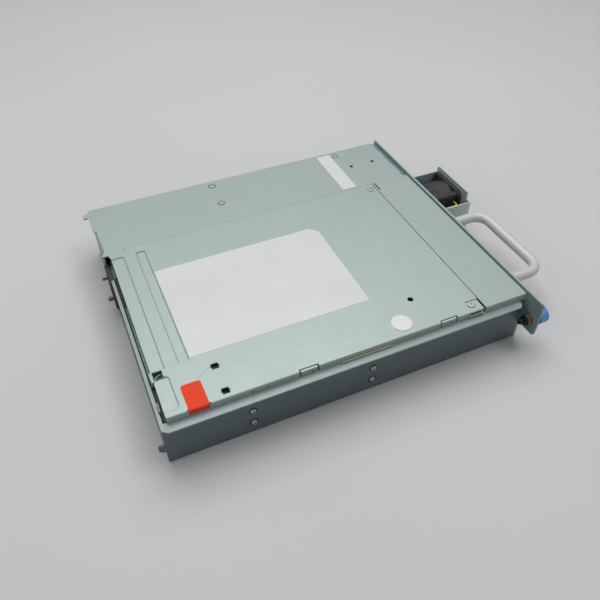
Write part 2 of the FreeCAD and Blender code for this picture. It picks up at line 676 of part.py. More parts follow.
posts = [
    (coverFront + 94.9, far - 7.4), (coverFront + 94.7, far - 32.6), (rear - 42.9, far - 7),
    (driveCoverRear - 4.8, seam - 7.4), (driveCoverRear - 7.6, near + 5.9)]
standoffs = Piece("cover_posts")
postCorner = postFlats * 0.57735
standoffs.pad("XY", sheetThick, coverUnder - sheetThick, [[
    (x, y + postCorner), (x - postFlats / 2, y + postCorner / 2), (x - postFlats / 2, y - postCorner / 2),
    (x, y - postCorner), (x + postFlats / 2, y - postCorner / 2), (x + postFlats / 2, y + postCorner / 2)]
    for x, y in posts])
standoffs.pocket("XY", coverUnder - 9, 9, [], [(x, y, screwRadius + screwGap) for x, y in posts])
coverScrews = Piece("cover_screws")
coverScrews.pad("XY", sledHeight, headHigh, [], [(x, y, headRadius) for x, y in posts])
coverScrews.pad("XY", sledHeight - 8, 8, [], [(x, y, screwRadius) for x, y in posts])
clips = Piece("cover_clips")
for place in clipPlaces:
    clips.pad("XZ", near + sheetThick, 0.6, [
        square((place - 5.5, railTop - 5), (place + 5.5, coverUnder + 0.4))])
    clips.pad("XZ", near + 0.2, 0.8, [square((place - 5.5, railTop + 0.1), (place + 5.5, coverUnder + 0.4))])
clips.pocket("XZ", near, 2, [], [(place + 2, railTop + 2, 0.8) for place in clipPlaces])

# ---------- handle ----------
grip = Piece("handle")
grip.pipe(handleHeight, [(panelOut, handleNear), (handleOut, handleNear), (handleOut, handleFar),
                         (panelOut, handleFar)], handleBend, handleRadius)
grip.pocket("YZ", panelOut, 9, [], [
    (handleNear, handleHeight, screwRadius + screwGap), (handleFar, handleHeight, screwRadius + screwGap)])
hand_in(fused("handle_screws_set", [fused(f"handle_screw_{n}", [
    rod(f"handle_screw_head_{n}", "X", (rear - headHigh * 2, y, handleHeight), headRadius, headHigh * 2),
    rod(f"handle_screw_shank_{n}", "X", (rear - 1, y, handleHeight), screwRadius, 9)])
    for n, y in enumerate((handleNear, handleFar))]), "handle_screws")
hand_in(fused("drive_screws_set", [fused(f"drive_screw_{n}", [
    rod(f"drive_screw_head_{n}", "Y", (x, near - headHigh, z), headRadius - 0.5, headHigh),
    rod(f"drive_screw_shank_{n}", "Y", (x, near - 0.5, z), screwRadius, 3.9)])
    for n, (x, z) in enumerate([(front + sideScrewFirst + along, sideScrewLow + up)
                                for along in (0, sideScrewSpan) for up in (0, sideScrewRise)])]), "drive_screws")

# ---------- captive screws ----------
washerFace = panelOut + 1 + thumbPull + 0.3
knobFace = washerFace + washerThick + 0.3
wellFloor = rear - ferruleLong + 1.5
for side, y, z in (("near", nearThumbY, thumbHeight), ("far", farThumbY, farThumbHeight)):
    ferrule = Piece(f"{side}_ferrule", (0, y, z))
    ferrule.turn("XZ", "X", [[
        (rear - ferruleLong, shankRadius + 0.15), (wellFloor, shankRadius + 0.15), (wellFloor, 3.4),
        (panelOut + 1, 3.4), (panelOut + 1, ferruleRadius + 1.2), (panelOut, ferruleRadius + 1.2),
        (panelOut, ferruleRadius), (rear - ferruleLong, ferruleRadius)]])
    spring = Piece(f"{side}_spring", (0, y, z))
    spring.turn("XZ", "X", [square((wellFloor, shankRadius + 0.4), (washerFace, 3.1))])
    washer = Piece(f"{side}_washer", (0, y, z))
    washer.turn("XZ", "X", [
        square((washerFace, shankRadius + runGap), (washerFace + washerThick, knobRadius - 0.7))])
    knob = Piece(f"{side}_knob", (0, y, z))
    ringFace = rear - ferruleLong - 0.3
    knob.turn("XZ", "X", [[
        (ringFace - shankFree, 0), (knobFace + knobLong, 0), (knobFace + knobLong, knobRadius - 1),
        (knobFace + knobLong - 1, knobRadius), (knobFace, knobRadius), (knobFace, shankRadius),
        (ringFace, shankRadius), (ringFace, 3.2), (ringFace - 1.4, 3.2), (ringFace - 1.4, shankRadius),
        (ringFace - shankFree, shankRadius)]])
    knob.pocket("YZ", knobFace + knobLong - 1.2, 1.2, [square((-0.5, -4), (0.5, 4))])

# ---------- fan ----------
bracket = Piece("fan_bracket")
bracket.pad("YZ", panelOut, bracketDeep - sheetThick, [[
    (bracketNear, 0), (bracketFar, 0), (bracketFar, bracketFarTop), (bracketFar - sheetThick, bracketFarTop),
    (bracketFar - sheetThick, sheetThick), (bracketNear + sheetThick, sheetThick),
    (bracketNear + sheetThick, bracketNearTop), (bracketNear, bracketNearTop)]])
bracket.dress("Fillet", bendRadius, lambda edge: runs_along(edge, "x") and lies_at(edge, "z", 0)
              and lies_at(edge, "y", bracketNear, bracketFar))
grille = Piece("fan_grille", (0, fanY, fanZ))
plateNear = bracketNear - fanY
plateFar = bracketFar - fanY
grille.pad("YZ", fanBack, sheetThick, [[
    (plateNear, -fanZ), (plateFar, -fanZ), (plateFar, grilleTop - fanZ),
    (plateNear + grilleStep, grilleTop - fanZ), (plateNear + grilleStep, bracketNearTop - fanZ),
    (plateNear, bracketNearTop - fanZ)]], [(0, 0, fanBore - 0.4)])
grille.dress("Fillet", railRound, lambda edge: runs_along(edge, "x")
             and lies_at(edge, "y", bracketFar) and lies_at(edge, "z", grilleTop))
grille.pad("YZ", fanBack, sheetThick, [], [(0, 0, fanBore / 4)])
grille.pad("YZ", fanBack, sheetThick, [], [(0, 0, fanBore * 0.62 + 0.7), (0, 0, fanBore * 0.62 - 0.7)])
spoke = grille.pad("YZ", fanBack, sheetThick, [square((-0.8, fanBore / 5), (0.8, fanBore))])
grille.around(spoke, "X", grilleSpokes)
frame = Piece("fan_frame", (fanFront, fanY, fanZ))
half = fanSize / 2
for low in (0, fanDeep - 3.5):
    frame.pad("YZ", low, 3.5, [square((-half, -half), (half, half))], [(0, 0, fanBore)])
frame.dress("Chamfer", 3, lambda edge: runs_along(edge, "x") and lies_at(edge, "y", fanY - half, fanY + half)
            and lies_at(edge, "z", fanZ - half, fanZ + half))
frame.pad("YZ", 3.5, fanDeep - 7, [], [(0, 0, fanBore + 1), (0, 0, fanBore)])
frame.pocket("YZ", fanDeep - 3.5, 3.5, [], [
    (fanScrewPlace * a, fanScrewPlace * b, 1.5) for a in (-1, 1) for b in (-1, 1)])
frame.pad("YZ", fanDeep - 2, 2, [], [(0, 0, fanHub)])
frame.pad("YZ", 9, fanDeep - 9, [], [(0, 0, 2.6)])
frame.pocket("YZ", 9, fanDeep - 11, [], [(0, 0, 1.1 + runGap)])
strut = frame.pad("YZ", fanDeep - 3, 3, [square((-1.2, fanHub - 1), (1.2, fanBore + 0.5))])
frame.around(strut, "X", 3)
stator = Piece("fan_stator", (fanFront, fanY, fanZ))
stator.pad("YZ", 12, 10, [], [(0, 0, 6.8), (0, 0, 2.65)])
wheel = Piece("fan_impeller", (fanFront, fanY, fanZ))
wheel.turn("XZ", "X", [[
    (4, 0), (4, fanHub - 1), (5, fanHub), (fanDeep - 3, fanHub), (fanDeep - 3, fanHub - 1),
    (5.5, fanHub - 1), (5.5, 1.1), (fanDeep - 5, 1.1), (fanDeep - 5, 0)]])
blade = wheel.pad("XZ", fanHub - 0.6, fanBore - fanHub + 1, [[(6, -5.4), (7.6, -6.1), (22, 4.8), (21, 5.8)]])
wheel.around(blade, "X", blades)
wheel.pocket("YZ", 0, fanDeep, [], [(0, 0, fanBore - 0.7), (0, 0, fanBore + 8)])
for name, height in (("yellow", socketZ + 1), ("black", socketZ - 1)):
    lead = Piece(f"fan_lead_{name}")
    lead.pipe(height, [(fanFront + 21, fanY - half), (fanFront + 21, socketY), (panelOut + 4, socketY)],
              3, leadRadius, 8)
box("fan_socket_block", (rear - 3, socketY - 2.8, socketZ - 2.3), (panelOut + 4, socketY + 2.8, socketZ + 2.3))
hand_in(doc.fan_socket_block, "fan_socket")

# ---------- host ports ----------
housing = Piece("port_housing")
housing.pad("YZ", rear - portBody - 3.8, portBody + 3, [square(
    (portY - portWide / 2, 6 + boardThick), (portY + portWide / 2, highPortHeight + 5.5))])
housing.dress("Fillet", 1, lambda edge: runs_along(edge, "x"))
for height in (lowPortHeight, highPortHeight):
    housing.pad("YZ", rear - 0.8, 2.9, [square(
        (portY - portWide / 2 + 2.6, height - portHigh / 2 + 1.2),
        (portY + portWide / 2 - 2.6, height + portHigh / 2 - 1.2))])
ports = Piece("port_shells")
for height in (lowPortHeight, highPortHeight):
    low = height - portHigh / 2
    high = height + portHigh / 2
    left = portY - portWide / 2
    right = portY + portWide / 2
    ports.pad("YZ", rear - 0.8, 0.8, [
        square((portY - jackSpan / 2 - 3, height - 6), (portY + jackSpan / 2 + 3, height + 6)),
        square((left + 0.8, low + 0.8), (right - 0.8, high - 0.8))], [
        (portY - jackSpan / 2, height, jackBore + 0.5), (portY + jackSpan / 2, height, jackBore + 0.5)])
    ports.pad("YZ", rear, panelThick + portReach, [
        [(left + 2, low), (right - 2, low), (right, low + 2), (right, high), (left, high), (left, low + 2)],
        [(left + 2.4, low + 0.8), (right - 2.4, low + 0.8), (right - 0.8, low + 2.4), (right - 0.8, high - 0.8),
         (left + 0.8, high - 0.8), (left + 0.8, low + 2.4)]])
jacks = Piece("jack_posts")
hexes = []
for height in (lowPortHeight, highPortHeight):
    for turn in (-0.5, 0.5):
        y = portY + jackSpan * turn
        hexes.append((y, height))
corner = acrossFlats * 0.57735
jacks.pad("YZ", panelOut, portReach, [[
    (y + corner, z), (y + corner / 2, z + acrossFlats / 2), (y - corner / 2, z + acrossFlats / 2),
    (y - corner, z), (y - corner / 2, z - acrossFlats / 2), (y + corner / 2, z - acrossFlats / 2)] for y, z in hexes])
jacks.pad("YZ", rear - 3, panelThick + 3, [], [(y, z, jackBore + 0.4) for y, z in hexes])
jacks.pocket("YZ", panelOut, portReach, [], [(y, z, jackBore) for y, z in hexes])

# ---------- boards of the sled ----------
sledBoard = Piece("sled_board")
boardNear = driveFar + 13.5
boardFar = far - 11
sledBoard.pad("XY", 6, boardThick, [square((front + 32, boardNear), (rear - 0.8, boardFar))], [
    (posts[1][0], posts[1][1], postCorner + 0.6)])
sledBoard.pocket("XY", 6, boardThick, [square((rear - 4, portY + 15.2), (rear - 0.8, boardFar))])
sledBoard.pad("XY", sheetThick, 5, [
    square((x - 2, y - 2), (x + 2, y + 2)) for x in (front + 37, posts[1][0] + 60, rear - 24)
    for y in (boardNear + 5, boardFar - 5)])
partsTop = 6 + boardThick
partsFrom = front + 39.5
partsRun = rear - portBody - 3.5 - partsFrom
converterX = partsFrom + partsRun * 0.14
converter = box("converter_block", (converterX, boardNear + 8, partsTop),
                (converterX + 25, boardNear + 32, partsTop + 12))
parts_list = [converter]
for index, (x, y, long, wide, high) in enumerate((
        (0, 26, 12, 12, 1.6), (0.39, 8, 18, 18, 2.2), (0.52, 24, 14, 10, 1.6), (0.64, 8, 10, 22, 1.4),
        (0.75, 26, 16, 8, 1.4), (0.86, 12, 8, 8, 6))):
    low = (partsFrom + partsRun * x, boardNear + y, partsTop)
    parts_list.append(box(f"sled_part_{index}", low, (low[0] + long, low[1] + wide, low[2] + high)))
for index, x in enumerate((0, 12, 24)):
    parts_list.append(rod(f"sled_can_{index}", "Z", (partsFrom + partsRun * 0.31 + x, boardNear + 34, partsTop), 4, 11))
hand_in(fused("sled_parts_set", parts_list), "sled_board_parts")

# ---------- docking connector ----------
dockBoardFar = driveFar + 33.5
box("docking_board_plate", (dockFace, frontWallFar + 1.5, 4), (driveFront, dockBoardFar, railTop))
hand_in(doc.docking_board_plate, "docking_board")
dock = Piece("docking_connector")
dockNear = frontWallFar + 2
dockLong = dockWide - 3.6
dockY = dockNear + dockLong / 2
dockZ = dockLow + dockHigh / 2
dockBack = dockFace - 0.8
dockFront = front - 1.5
dock.pad("YZ", dockFront, dockBack - dockFront, [
    square((dockNear, dockLow), (dockNear + dockLong, dockLow + dockHigh))])
dock.dress("Chamfer", 0.8, lambda edge: lies_at(edge, "x", dockFront))
dock.pocket("YZ", dockFront, dockBack - dockFront - 0.6, [
    square((dockY - 6, dockZ - 7.5), (dockY + 6, dockZ + 7.5))])
dock.pocket("YZ", dockFront, dockBack - dockFront, [], [
    (dockY, dockZ + up, dockPin + screwGap) for up in (-10.5, 10.5)])
dockShell = Piece("docking_shell", (0, dockY, dockZ))
dockShell.pad("YZ", dockBack, 0.8, [square((-8, -13), (8, 13))])
dockShell.pad("YZ", front - dockPinReach, dockBack - front + dockPinReach, [], [
    (0, up, dockPin) for up in (-10.5, 10.5)])

# ---------- drive case ----------
case = Piece("drive_chassis")
case.pad("XY", sheetThick, driveBase, [square((driveFront, driveNear), (driveRear, driveFar))])
wallTop = boardUnder
caseWall = wallTop - driveFloor
case.pad("XY", driveFloor, caseWall, [[
    (driveFront, driveNear), (driveRear, driveNear), (driveRear, driveFar), (driveFront, driveFar),
    (driveFront, driveFar - driveWall), (driveRear - driveWall, driveFar - driveWall),
    (driveRear - driveWall, driveNear + driveWall), (driveFront, driveNear + driveWall)]])
ledgeTop = carriageLow - slipGap
ledgeLong = trayLong + loadTravel + 4
for inner, outer, lip_inner in (
        (carriageNear + 1.2, carriageNear - 1.9, carriageNear - 0.5),
        (carriageFar + trayThick - 1.2, carriageFar + trayThick + 1.9, carriageFar + trayThick + 0.5)):
    low, high = (outer, inner) if outer.number < inner.number else (inner, outer)
    case.pad("XY", driveFloor, ledgeTop - driveFloor, [
        square((trayFront, low), (trayFront + ledgeLong, high))])
    low, high = (outer, lip_inner) if outer.number < inner.number else (lip_inner, outer)
    case.pad("XY", ledgeTop, lip, [square((trayFront, low), (trayFront + ledgeLong, high))])
ribX = driveFront + 190
case.pad("XY", driveFloor, 2.5, [
    square((ribX, driveNear + driveWall + 3), (ribX + 2, driveFar - driveWall - 3))])
case.pocket("XZ", driveNear, driveWall, [], [
    (front + sideScrewFirst + along, sideScrewLow + up, screwRadius + screwGap)
    for along in (0, sideScrewSpan) for up in (0, sideScrewRise)])
case.pocket("XY", sheetThick, 2.4, [], [(x, y, screwRadius + screwGap) for x, y in baseHoles])
case.pocket("YZ", driveRear - driveWall, driveWall, [
    square((driveNear + 20, driveFloor + 8), (driveNear + 58, driveFloor + 20)),
    square((driveNear + 70, driveFloor + 6), (driveNear + 126, driveFloor + 24))])
hand_in(fused("base_screws_set", [fused(f"base_screw_{n}", [
    rod(f"base_screw_head_{n}", "Z", (x, y, 0.1), headRadius, 0.7),
    rod(f"base_screw_shank_{n}", "Z", (x, y, 0.5), screwRadius, 2.7)])
    for n, (x, y) in enumerate(baseHoles)]), "base_screws")
mouth = Piece("mouth_frame")
mouth.pad("YZ", driveFront - mouthFrameThick, mouthFrameThick, [
    square((driveNear, sheetThick), (frontWallFar + 0.5, boardUnder - 0.2)),
    square((mouthNear, mouthLow), (mouthFar, mouthLow + mouthHigh))])
mouth.dress("Chamfer", 1.2, lambda edge: lies_at(edge, "x", driveFront - mouthFrameThick)
            and mouthNear.number - 0.1 < edge.CenterOfMass.y < mouthFar.number + 0.1
            and mouthLow.number - 0.1 < edge.CenterOfMass.z < mouthLow.number + mouthHigh.number + 0.1)
board = Piece("main_board")
tabFront = driveFront - 2.1
notchRear = driveFront + 9
board.pad("XY", boardUnder, boardThick, [[
    (driveFront + 0.6, driveNear + 0.4), (driveRear, driveNear + 0.4), (driveRear, driveFar - 0.4),
    (notchRear, driveFar - 0.4), (notchRear, mouthMiddle + 25), (tabFront, mouthMiddle + 25),
    (tabFront, mouthMiddle - 47), (driveFront + 0.6, mouthMiddle - 47)]], [
    (driveFront + 5, driveNear + 6, 1.6), (notchRear + 5, driveFar - 6, 1.6),
    (driveRear - 5, driveNear + 6, 1.6), (driveRear - 5, driveFar - 6, 1.6)])
chips = []
for index, (x, y, long, wide) in enumerate((
        (30, 20, 24, 24), (62, 30, 14, 20), (84, 26, 28, 28), (130, 24, 16, 12), (150, 20, 20, 20),
        (30, 70, 12, 30), (60, 80, 18, 18), (100, 84, 14, 24), (136, 84, 26, 26), (176, 50, 12, 40),
        (34, 118, 20, 12), (84, 124, 30, 10))):
    chips.append(box(f"chip_{index}", (driveFront + x, driveNear + y, boardTop),
                     (driveFront + x + long, driveNear + y + wide, boardTop + chipHigh)))
hand_in(fused("chips_set", chips), "board_chips")

# ---------- tape path ----------
rollerSpots = [(reelX - 36, driveFar - 14), (reelX - 23, driveFar - 9), (reelX + 1, driveFar - 9),
               (reelX + 14, driveFar - 14)]
rollerLow = driveFloor + 5
rollerTop = rollerLow + rollerHigh
armX = reelX - 38
armY = spindleY + 18.5
armLow = driveFloor + 25
pins = []
for index, (x, y) in enumerate(rollerSpots):
    pins.append(rod(f"roller_pin_{index}", "Z", (x, y, driveFloor), pinRadius, rollerTop - driveFloor + 1.2))
pins += [
    box("roller_pad", (rollerSpots[0][0] - 4, driveFar - 18, driveFloor),
        (rollerSpots[3][0] + 4, driveFar - 5, rollerLow - 0.3)),
    rod("gear_pin", "Z", (gearX, gearY, driveFloor), pinRadius, gearLow + gearThick - driveFloor + 0.6),
    rod("gear_seat", "Z", (gearX, gearY, driveFloor), pinRadius + 1.1, gearLow - driveFloor - 0.3),
    rod("arm_post", "Z", (armX, armY, driveFloor), armRadius, armLow - driveFloor + 2.6),
    rod("arm_seat", "Z", (armX, armY, driveFloor), armRadius + 0.9, armLow - driveFloor - 0.3),
    rod("supply_spindle", "Z", (hubX, spindleY, driveFloor), 3, hubLow + hubHigh - 1.5 - driveFloor),
    rod("takeup_spindle", "Z", (reelX, spindleY, driveFloor), 4, 16)]
hand_in(fused("mechanism_pins_set", pins), "mechanism_pins")
coils = Piece("spindle_stators")
coils.pad("XY", driveFloor, statorHigh, [], [
    (hubX, spindleY, statorRadius), (hubX, spindleY, 5), (reelX, spindleY, statorRadius), (reelX, spindleY, 6)])
hub = Piece("supply_hub", (hubX, spindleY, hubLow))
hub.pad("XY", 0, hubHigh - 0.8, [], [(0, 0, hubRadius)])
dog = hub.pad("XY", hubHigh - 0.8, 0.8, [square((-0.8, hubRadius - 4.5), (0.8, hubRadius - 1))])
hub.around(dog, "Z", hubTeeth)
hub.pocket("XY", 0, hubHigh - 1.2, [], [(0, 0, 3 + runGap)])
reel = Piece("takeup_reel", (reelX, spindleY, reelLow))
reel.turn("XZ", "Z", [[
    (4 + runGap, 0), (reelRadius, 0), (reelRadius, 1.2), (reelCore, 1.2), (reelCore, reelHigh - 1.2),
    (reelRadius, reelHigh - 1.2), (reelRadius, reelHigh), (0, reelHigh), (0, reelHigh - 6.5),
    (4 + runGap, reelHigh - 6.5)]])
reel.pocket("XY", 1.2, reelHigh - 1.2, [square((-4.5, 9), (4.5, reelRadius + 1))])
for index, (x, y) in enumerate(rollerSpots):
    roller = Piece(f"guide_roller_{index + 1}", (x, y, rollerLow))
    roller.turn("XZ", "Z", [[
        (pinRadius + runGap, 0), (rollerLip, 0), (rollerLip, 1), (rollerRadius, 1), (rollerRadius, rollerHigh - 1),
        (rollerLip, rollerHigh - 1), (rollerLip, rollerHigh), (pinRadius + runGap, rollerHigh)]])
headX = reelX - 11
headY = driveFar - 20
head = Piece("tape_head", (headX, headY, rollerLow + headTravel))
head.pad("XY", 0, 13, [square((-4.4, -4.5), (4.4, 8))], [
    (-headPair / 2, 0, headPost + runGap), (headPair / 2, 0, headPost + runGap)])
head.pad("XY", 0, 13, [[(-3.4, 8), (3.4, 8), (2.4, 15), (1.2, 15.8), (-1.2, 15.8), (-2.4, 15)]])
headFrame = Piece("head_posts", (headX, headY, driveFloor))
headFrame.pad("XY", 0, 26, [], [(-headPair / 2, 0, headPost), (headPair / 2, 0, headPost)])
headFrame.pad("XY", 24, 2, [square((-5, -4), (5, 4))])
arm = Piece("threader_arm", (armX, armY, armLow))
arm.body.Placement.Rotation = Rotation(Vector(0, 0, 1), armRest.number)
arm.pad("XY", 0, 2, [[(2, -3.2), (armReach, -1.8), (armReach + 1.6, 0), (armReach, 1.8), (2, 3.2)]])
arm.pad("XY", 0, 2, [], [(0, 0, armRadius + 2.2)])
arm.pad("XY", -1, 1, [], [(armReach - 1, 0, 1.2)])
arm.pocket("XY", 0, 2, [], [(0, 0, armRadius + runGap)])

# ---------- loader ----------
slide = Piece("loader_carriage")
railFront = trayFront + 0.5
railRear = trayRear + 1.8
slotZ = carriageLow + 12
pinSpots = [trayFront + 14, trayRear - 14]
for low in (carriageNear, carriageFar):
    slide.pad("XZ", low, trayThick, [square((railFront, carriageLow), (railRear, carriageTop))] + [
        square((x - slotReach - 0.2, slotZ - dropTravel - slotReach - 0.3),
               (x + slotReach + 0.2, slotZ + slotReach + 0.3)) for x in pinSpots])
slide.pad("YZ", railRear - trayThick, trayThick, [
    square((carriageNear, carriageLow), (carriageFar + trayThick, carriageLow + 8))])
pitch = toothModule * 3.14159265
halfTooth = (pitch / 2 - backlash) / 2
rackFirst = gearX + pitch / 2 + pitch - pitch * (rackTeeth - 1)
tooth = slide.pad("XY", gearLow, gearThick, [[
    (rackFirst - halfTooth - 0.45, carriageNear + 0.05), (rackFirst - halfTooth - 0.35, rackLine + toothModule),
    (rackFirst - halfTooth + 0.35, rackLine - toothModule), (rackFirst + halfTooth - 0.35, rackLine - toothModule),
    (rackFirst + halfTooth + 0.35, rackLine + toothModule), (rackFirst + halfTooth + 0.45, carriageNear + 0.05)]])
slide.along(tooth, "X", int(rackTeeth.number), pitch * (rackTeeth - 1))
cradle = Piece("cartridge_tray")
cradle.pad("XY", trayFloor, trayThick, [
    square((trayFront, trayNear), (trayRear, trayFar)),
    square((hubX - loadTravel - hubRadius - 1, spindleY - hubRadius - 1),
           (hubX + hubRadius + 1, spindleY + hubRadius + 1))])
for low, lip_low in ((trayNear, trayNear), (trayFar - trayThick, trayFar - 3.5)):
    cradle.pad("XZ", low, trayThick, [square((trayFront, trayFloor), (trayRear, trayFloor + trayHigh))])
    cradle.pad("XY", trayFloor + trayHigh - trayThick, trayThick, [
        square((trayFront + 4, lip_low), (trayRear, lip_low + 3.5))])
cradle.pad("YZ", trayRear - trayThick, trayThick, [
    square((trayNear + along, trayFloor), (trayNear + along + 14, trayFloor + 9)) for along in (14, 82)])
cradle.pad("XZ", carriageNear - 0.4, trayNear - carriageNear + 0.4, [], [(x, slotZ, slotReach) for x in pinSpots])
cradle.pad("XZ", trayFar, carriageFar + trayThick + 0.4 - trayFar, [], [(x, slotZ, slotReach) for x in pinSpots])


def toothed_wheel(label, x, y, teeth, radius, phase, bore):
    # A spur wheel whose first tooth points along phase, in degrees.
    wheel_body = Piece(label, (x, y, gearLow))
    wheel_body.body.Placement.Rotation = Rotation(Vector(0, 0, 1), phase)
    disc = [(0, 0, radius - toothModule * 1.2)] + ([(0, 0, bore)] if bore else [])
    wheel_body.pad("XY", 0, gearThick, [], disc)
    root = radius - toothModule * 1.3
    profile = [(root, -halfTooth - 0.3), (radius - toothModule * 0.5, -halfTooth - 0.16), (radius, -halfTooth),
               (radius + toothModule * 0.55, -halfTooth + 0.2), (radius + toothModule, -halfTooth + 0.44)]
    mirror = [(a, -as_size(b)) for a, b in reversed(profile)]
    one = wheel_body.pad("XY", 0, gearThick, [profile + mirror])
    wheel_body.around(one, "Z", teeth)
    return wheel_body


gearTurn = 90
toothed_wheel("load_gear", gearX, gearY, gearTeeth, gearRadius, gearTurn, pinRadius + runGap)
# The pinion's gap faces the wheel's tooth that lies nearest the line of centres.
lineAngle = math.degrees(math.atan2((pinionY - gearY).number, (pinionX - gearX).number))
gearStep = 360 / gearTeeth.number
offset = (gearTurn - lineAngle + gearStep / 2) % gearStep - gearStep / 2
pinionTurn = lineAngle + 180 - offset * gearTeeth.number / pinionTeeth.number + 180 / pinionTeeth.number
pinion = toothed_wheel("motor_pinion", pinionX, pinionY, pinionTeeth, pinionRadius, pinionTurn, 0)
pinion.pad("XY", -6, 6.5, [], [(0, 0, 0.75)])
motor = Piece("load_motor", (pinionX, pinionY, driveFloor))
motor.pad("XY", 0, 16, [], [(0, 0, 5)])
motor.pocket("XY", 11.5, 4.5, [], [(0, 0, 0.8)])

# ---------- ribbons ----------
ribbon = Piece("board_ribbon")
ribbonStart = driveFar - 2.5
dropY = driveFar + 6.5
ribbonX = driveFront + 142.5
headerTop = partsTop + 5
ribbonZ = partsTop + 2.2
ribbonFar = driveFar + 16
ribbon.pad("YZ", ribbonX, 38, [[
    (ribbonStart, boardTop + 0.6), (dropY, boardTop + 0.6), (dropY, ribbonZ), (ribbonFar, ribbonZ),
    (ribbonFar, ribbonZ + ribbonThick), (dropY + ribbonThick, ribbonZ + ribbonThick),
    (dropY + ribbonThick, boardTop + 0.6 + ribbonThick), (ribbonStart, boardTop + 0.6 + ribbonThick)]])
ribbon.dress("Fillet", ribbonBend, lambda edge: runs_along(edge, "x")
             and lies_at(edge, "y", dropY) and lies_at(edge, "z", boardTop + 0.6))
ribbon.dress("Fillet", ribbonBend, lambda edge: runs_along(edge, "x")
             and lies_at(edge, "y", dropY + ribbonThick) and lies_at(edge, "z", ribbonZ + ribbonThick))
ribbon.dress("Fillet", ribbonBend + ribbonThick, lambda edge: runs_along(edge, "x") and (
    (lies_at(edge, "y", dropY) and lies_at(edge, "z", ribbonZ))
    or (lies_at(edge, "y", dropY + ribbonThick) and lies_at(edge, "z", boardTop + 0.6 + ribbonThick))))
dockRibbonZ = partsTop + 2.2
dockRibbonEnd = front + 38
box("dock_ribbon_strip", (driveFront, ribbonFar - 0.5, dockRibbonZ),
    (dockRibbonEnd, ribbonFar + 15.5, dockRibbonZ + ribbonThick))
hand_in(doc.dock_ribbon_strip, "dock_ribbon")
hand_in(fused("headers_set", [
    box("header_main", (ribbonX - 1, ribbonStart - 5, boardTop), (ribbonX + 39, ribbonStart, boardTop + 2)),
    box("header_sled", (ribbonX - 1, ribbonFar, partsTop), (ribbonX + 39, ribbonFar + 5, headerTop)),
    box("header_dock", (dockRibbonEnd, ribbonFar - 1.5, partsTop),
        (dockRibbonEnd + 5, ribbonFar + 16.5, headerTop))]),
    "ribbon_headers")

# ---------- checks and files ----------
doc.recompute()
for thing in doc.Objects:
    if "Invalid" in thing.State or "Error" in thing.State:
        raise ValueError(f"{thing.Name} did not build")
if len({piece.Label for piece in pieces}) != len(pieces):
    raise ValueError("two sub-parts share a name")
os.makedirs("parts", exist_ok=True)
for piece in pieces:
    shape = piece.Shape
    if shape.isNull() or not shape.isValid():
        raise ValueError(f"{piece.Label} has no sound shape")
    shape.exportStep(f"parts/{piece.Label}.step")
print(len(pieces), "sub-parts written")
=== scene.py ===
import bpy
import math
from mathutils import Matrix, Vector


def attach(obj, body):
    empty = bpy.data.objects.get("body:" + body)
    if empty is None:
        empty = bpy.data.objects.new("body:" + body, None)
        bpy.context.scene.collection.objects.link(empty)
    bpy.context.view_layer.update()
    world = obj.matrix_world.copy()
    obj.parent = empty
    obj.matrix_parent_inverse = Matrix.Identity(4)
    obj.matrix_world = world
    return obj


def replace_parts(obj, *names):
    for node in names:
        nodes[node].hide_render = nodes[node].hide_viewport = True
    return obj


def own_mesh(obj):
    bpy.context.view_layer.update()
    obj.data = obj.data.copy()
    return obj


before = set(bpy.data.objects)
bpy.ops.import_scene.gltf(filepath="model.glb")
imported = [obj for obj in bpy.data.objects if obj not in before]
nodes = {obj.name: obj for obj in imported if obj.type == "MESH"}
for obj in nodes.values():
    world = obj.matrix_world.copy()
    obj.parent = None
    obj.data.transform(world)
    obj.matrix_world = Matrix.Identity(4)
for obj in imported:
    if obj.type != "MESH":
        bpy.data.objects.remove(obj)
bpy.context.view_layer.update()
print("frame loaded")

mm = 0.001
coverTop = 43  # upper face of both covers, in millimetres
proud = 0.02  # how far what is stuck on stands off the cover, in millimetres
nearWall = -107.5  # outer face of the near wall, in millimetres
sideScrews = [(-72 + along, 10 + up) for along in (0, 83) for up in (0, 11.5)]  # along x and up


class Wire:
    # a socket that takes part in sums
    def __init__(self, finish, socket):
        self.finish = finish
        self.socket = socket

    def maths(self, kind, other, swapped=False):
        pair = [other, self] if swapped else [self, other]
        return self.finish.node("ShaderNodeMath", {"operation": kind}, {0: pair[0], 1: pair[1]})

    def __add__(self, other):
        return self.maths("ADD", other)

    def __radd__(self, other):
        return self.maths("ADD", other, True)

    def __sub__(self, other):
        return self.maths("SUBTRACT", other)

    def __rsub__(self, other):
        return self.maths("SUBTRACT", other, True)

    def __mul__(self, other):
        return self.maths("MULTIPLY", other)

    def __rmul__(self, other):
        return self.maths("MULTIPLY", other, True)

    def above(self, limit, soft):
        # 0 below the limit, 1 above it, with a soft step
        return self.finish.node("ShaderNodeMapRange", {"interpolation_type": "SMOOTHSTEP"},
                                {"Value": self, "From Min": limit - soft, "From Max": limit + soft})


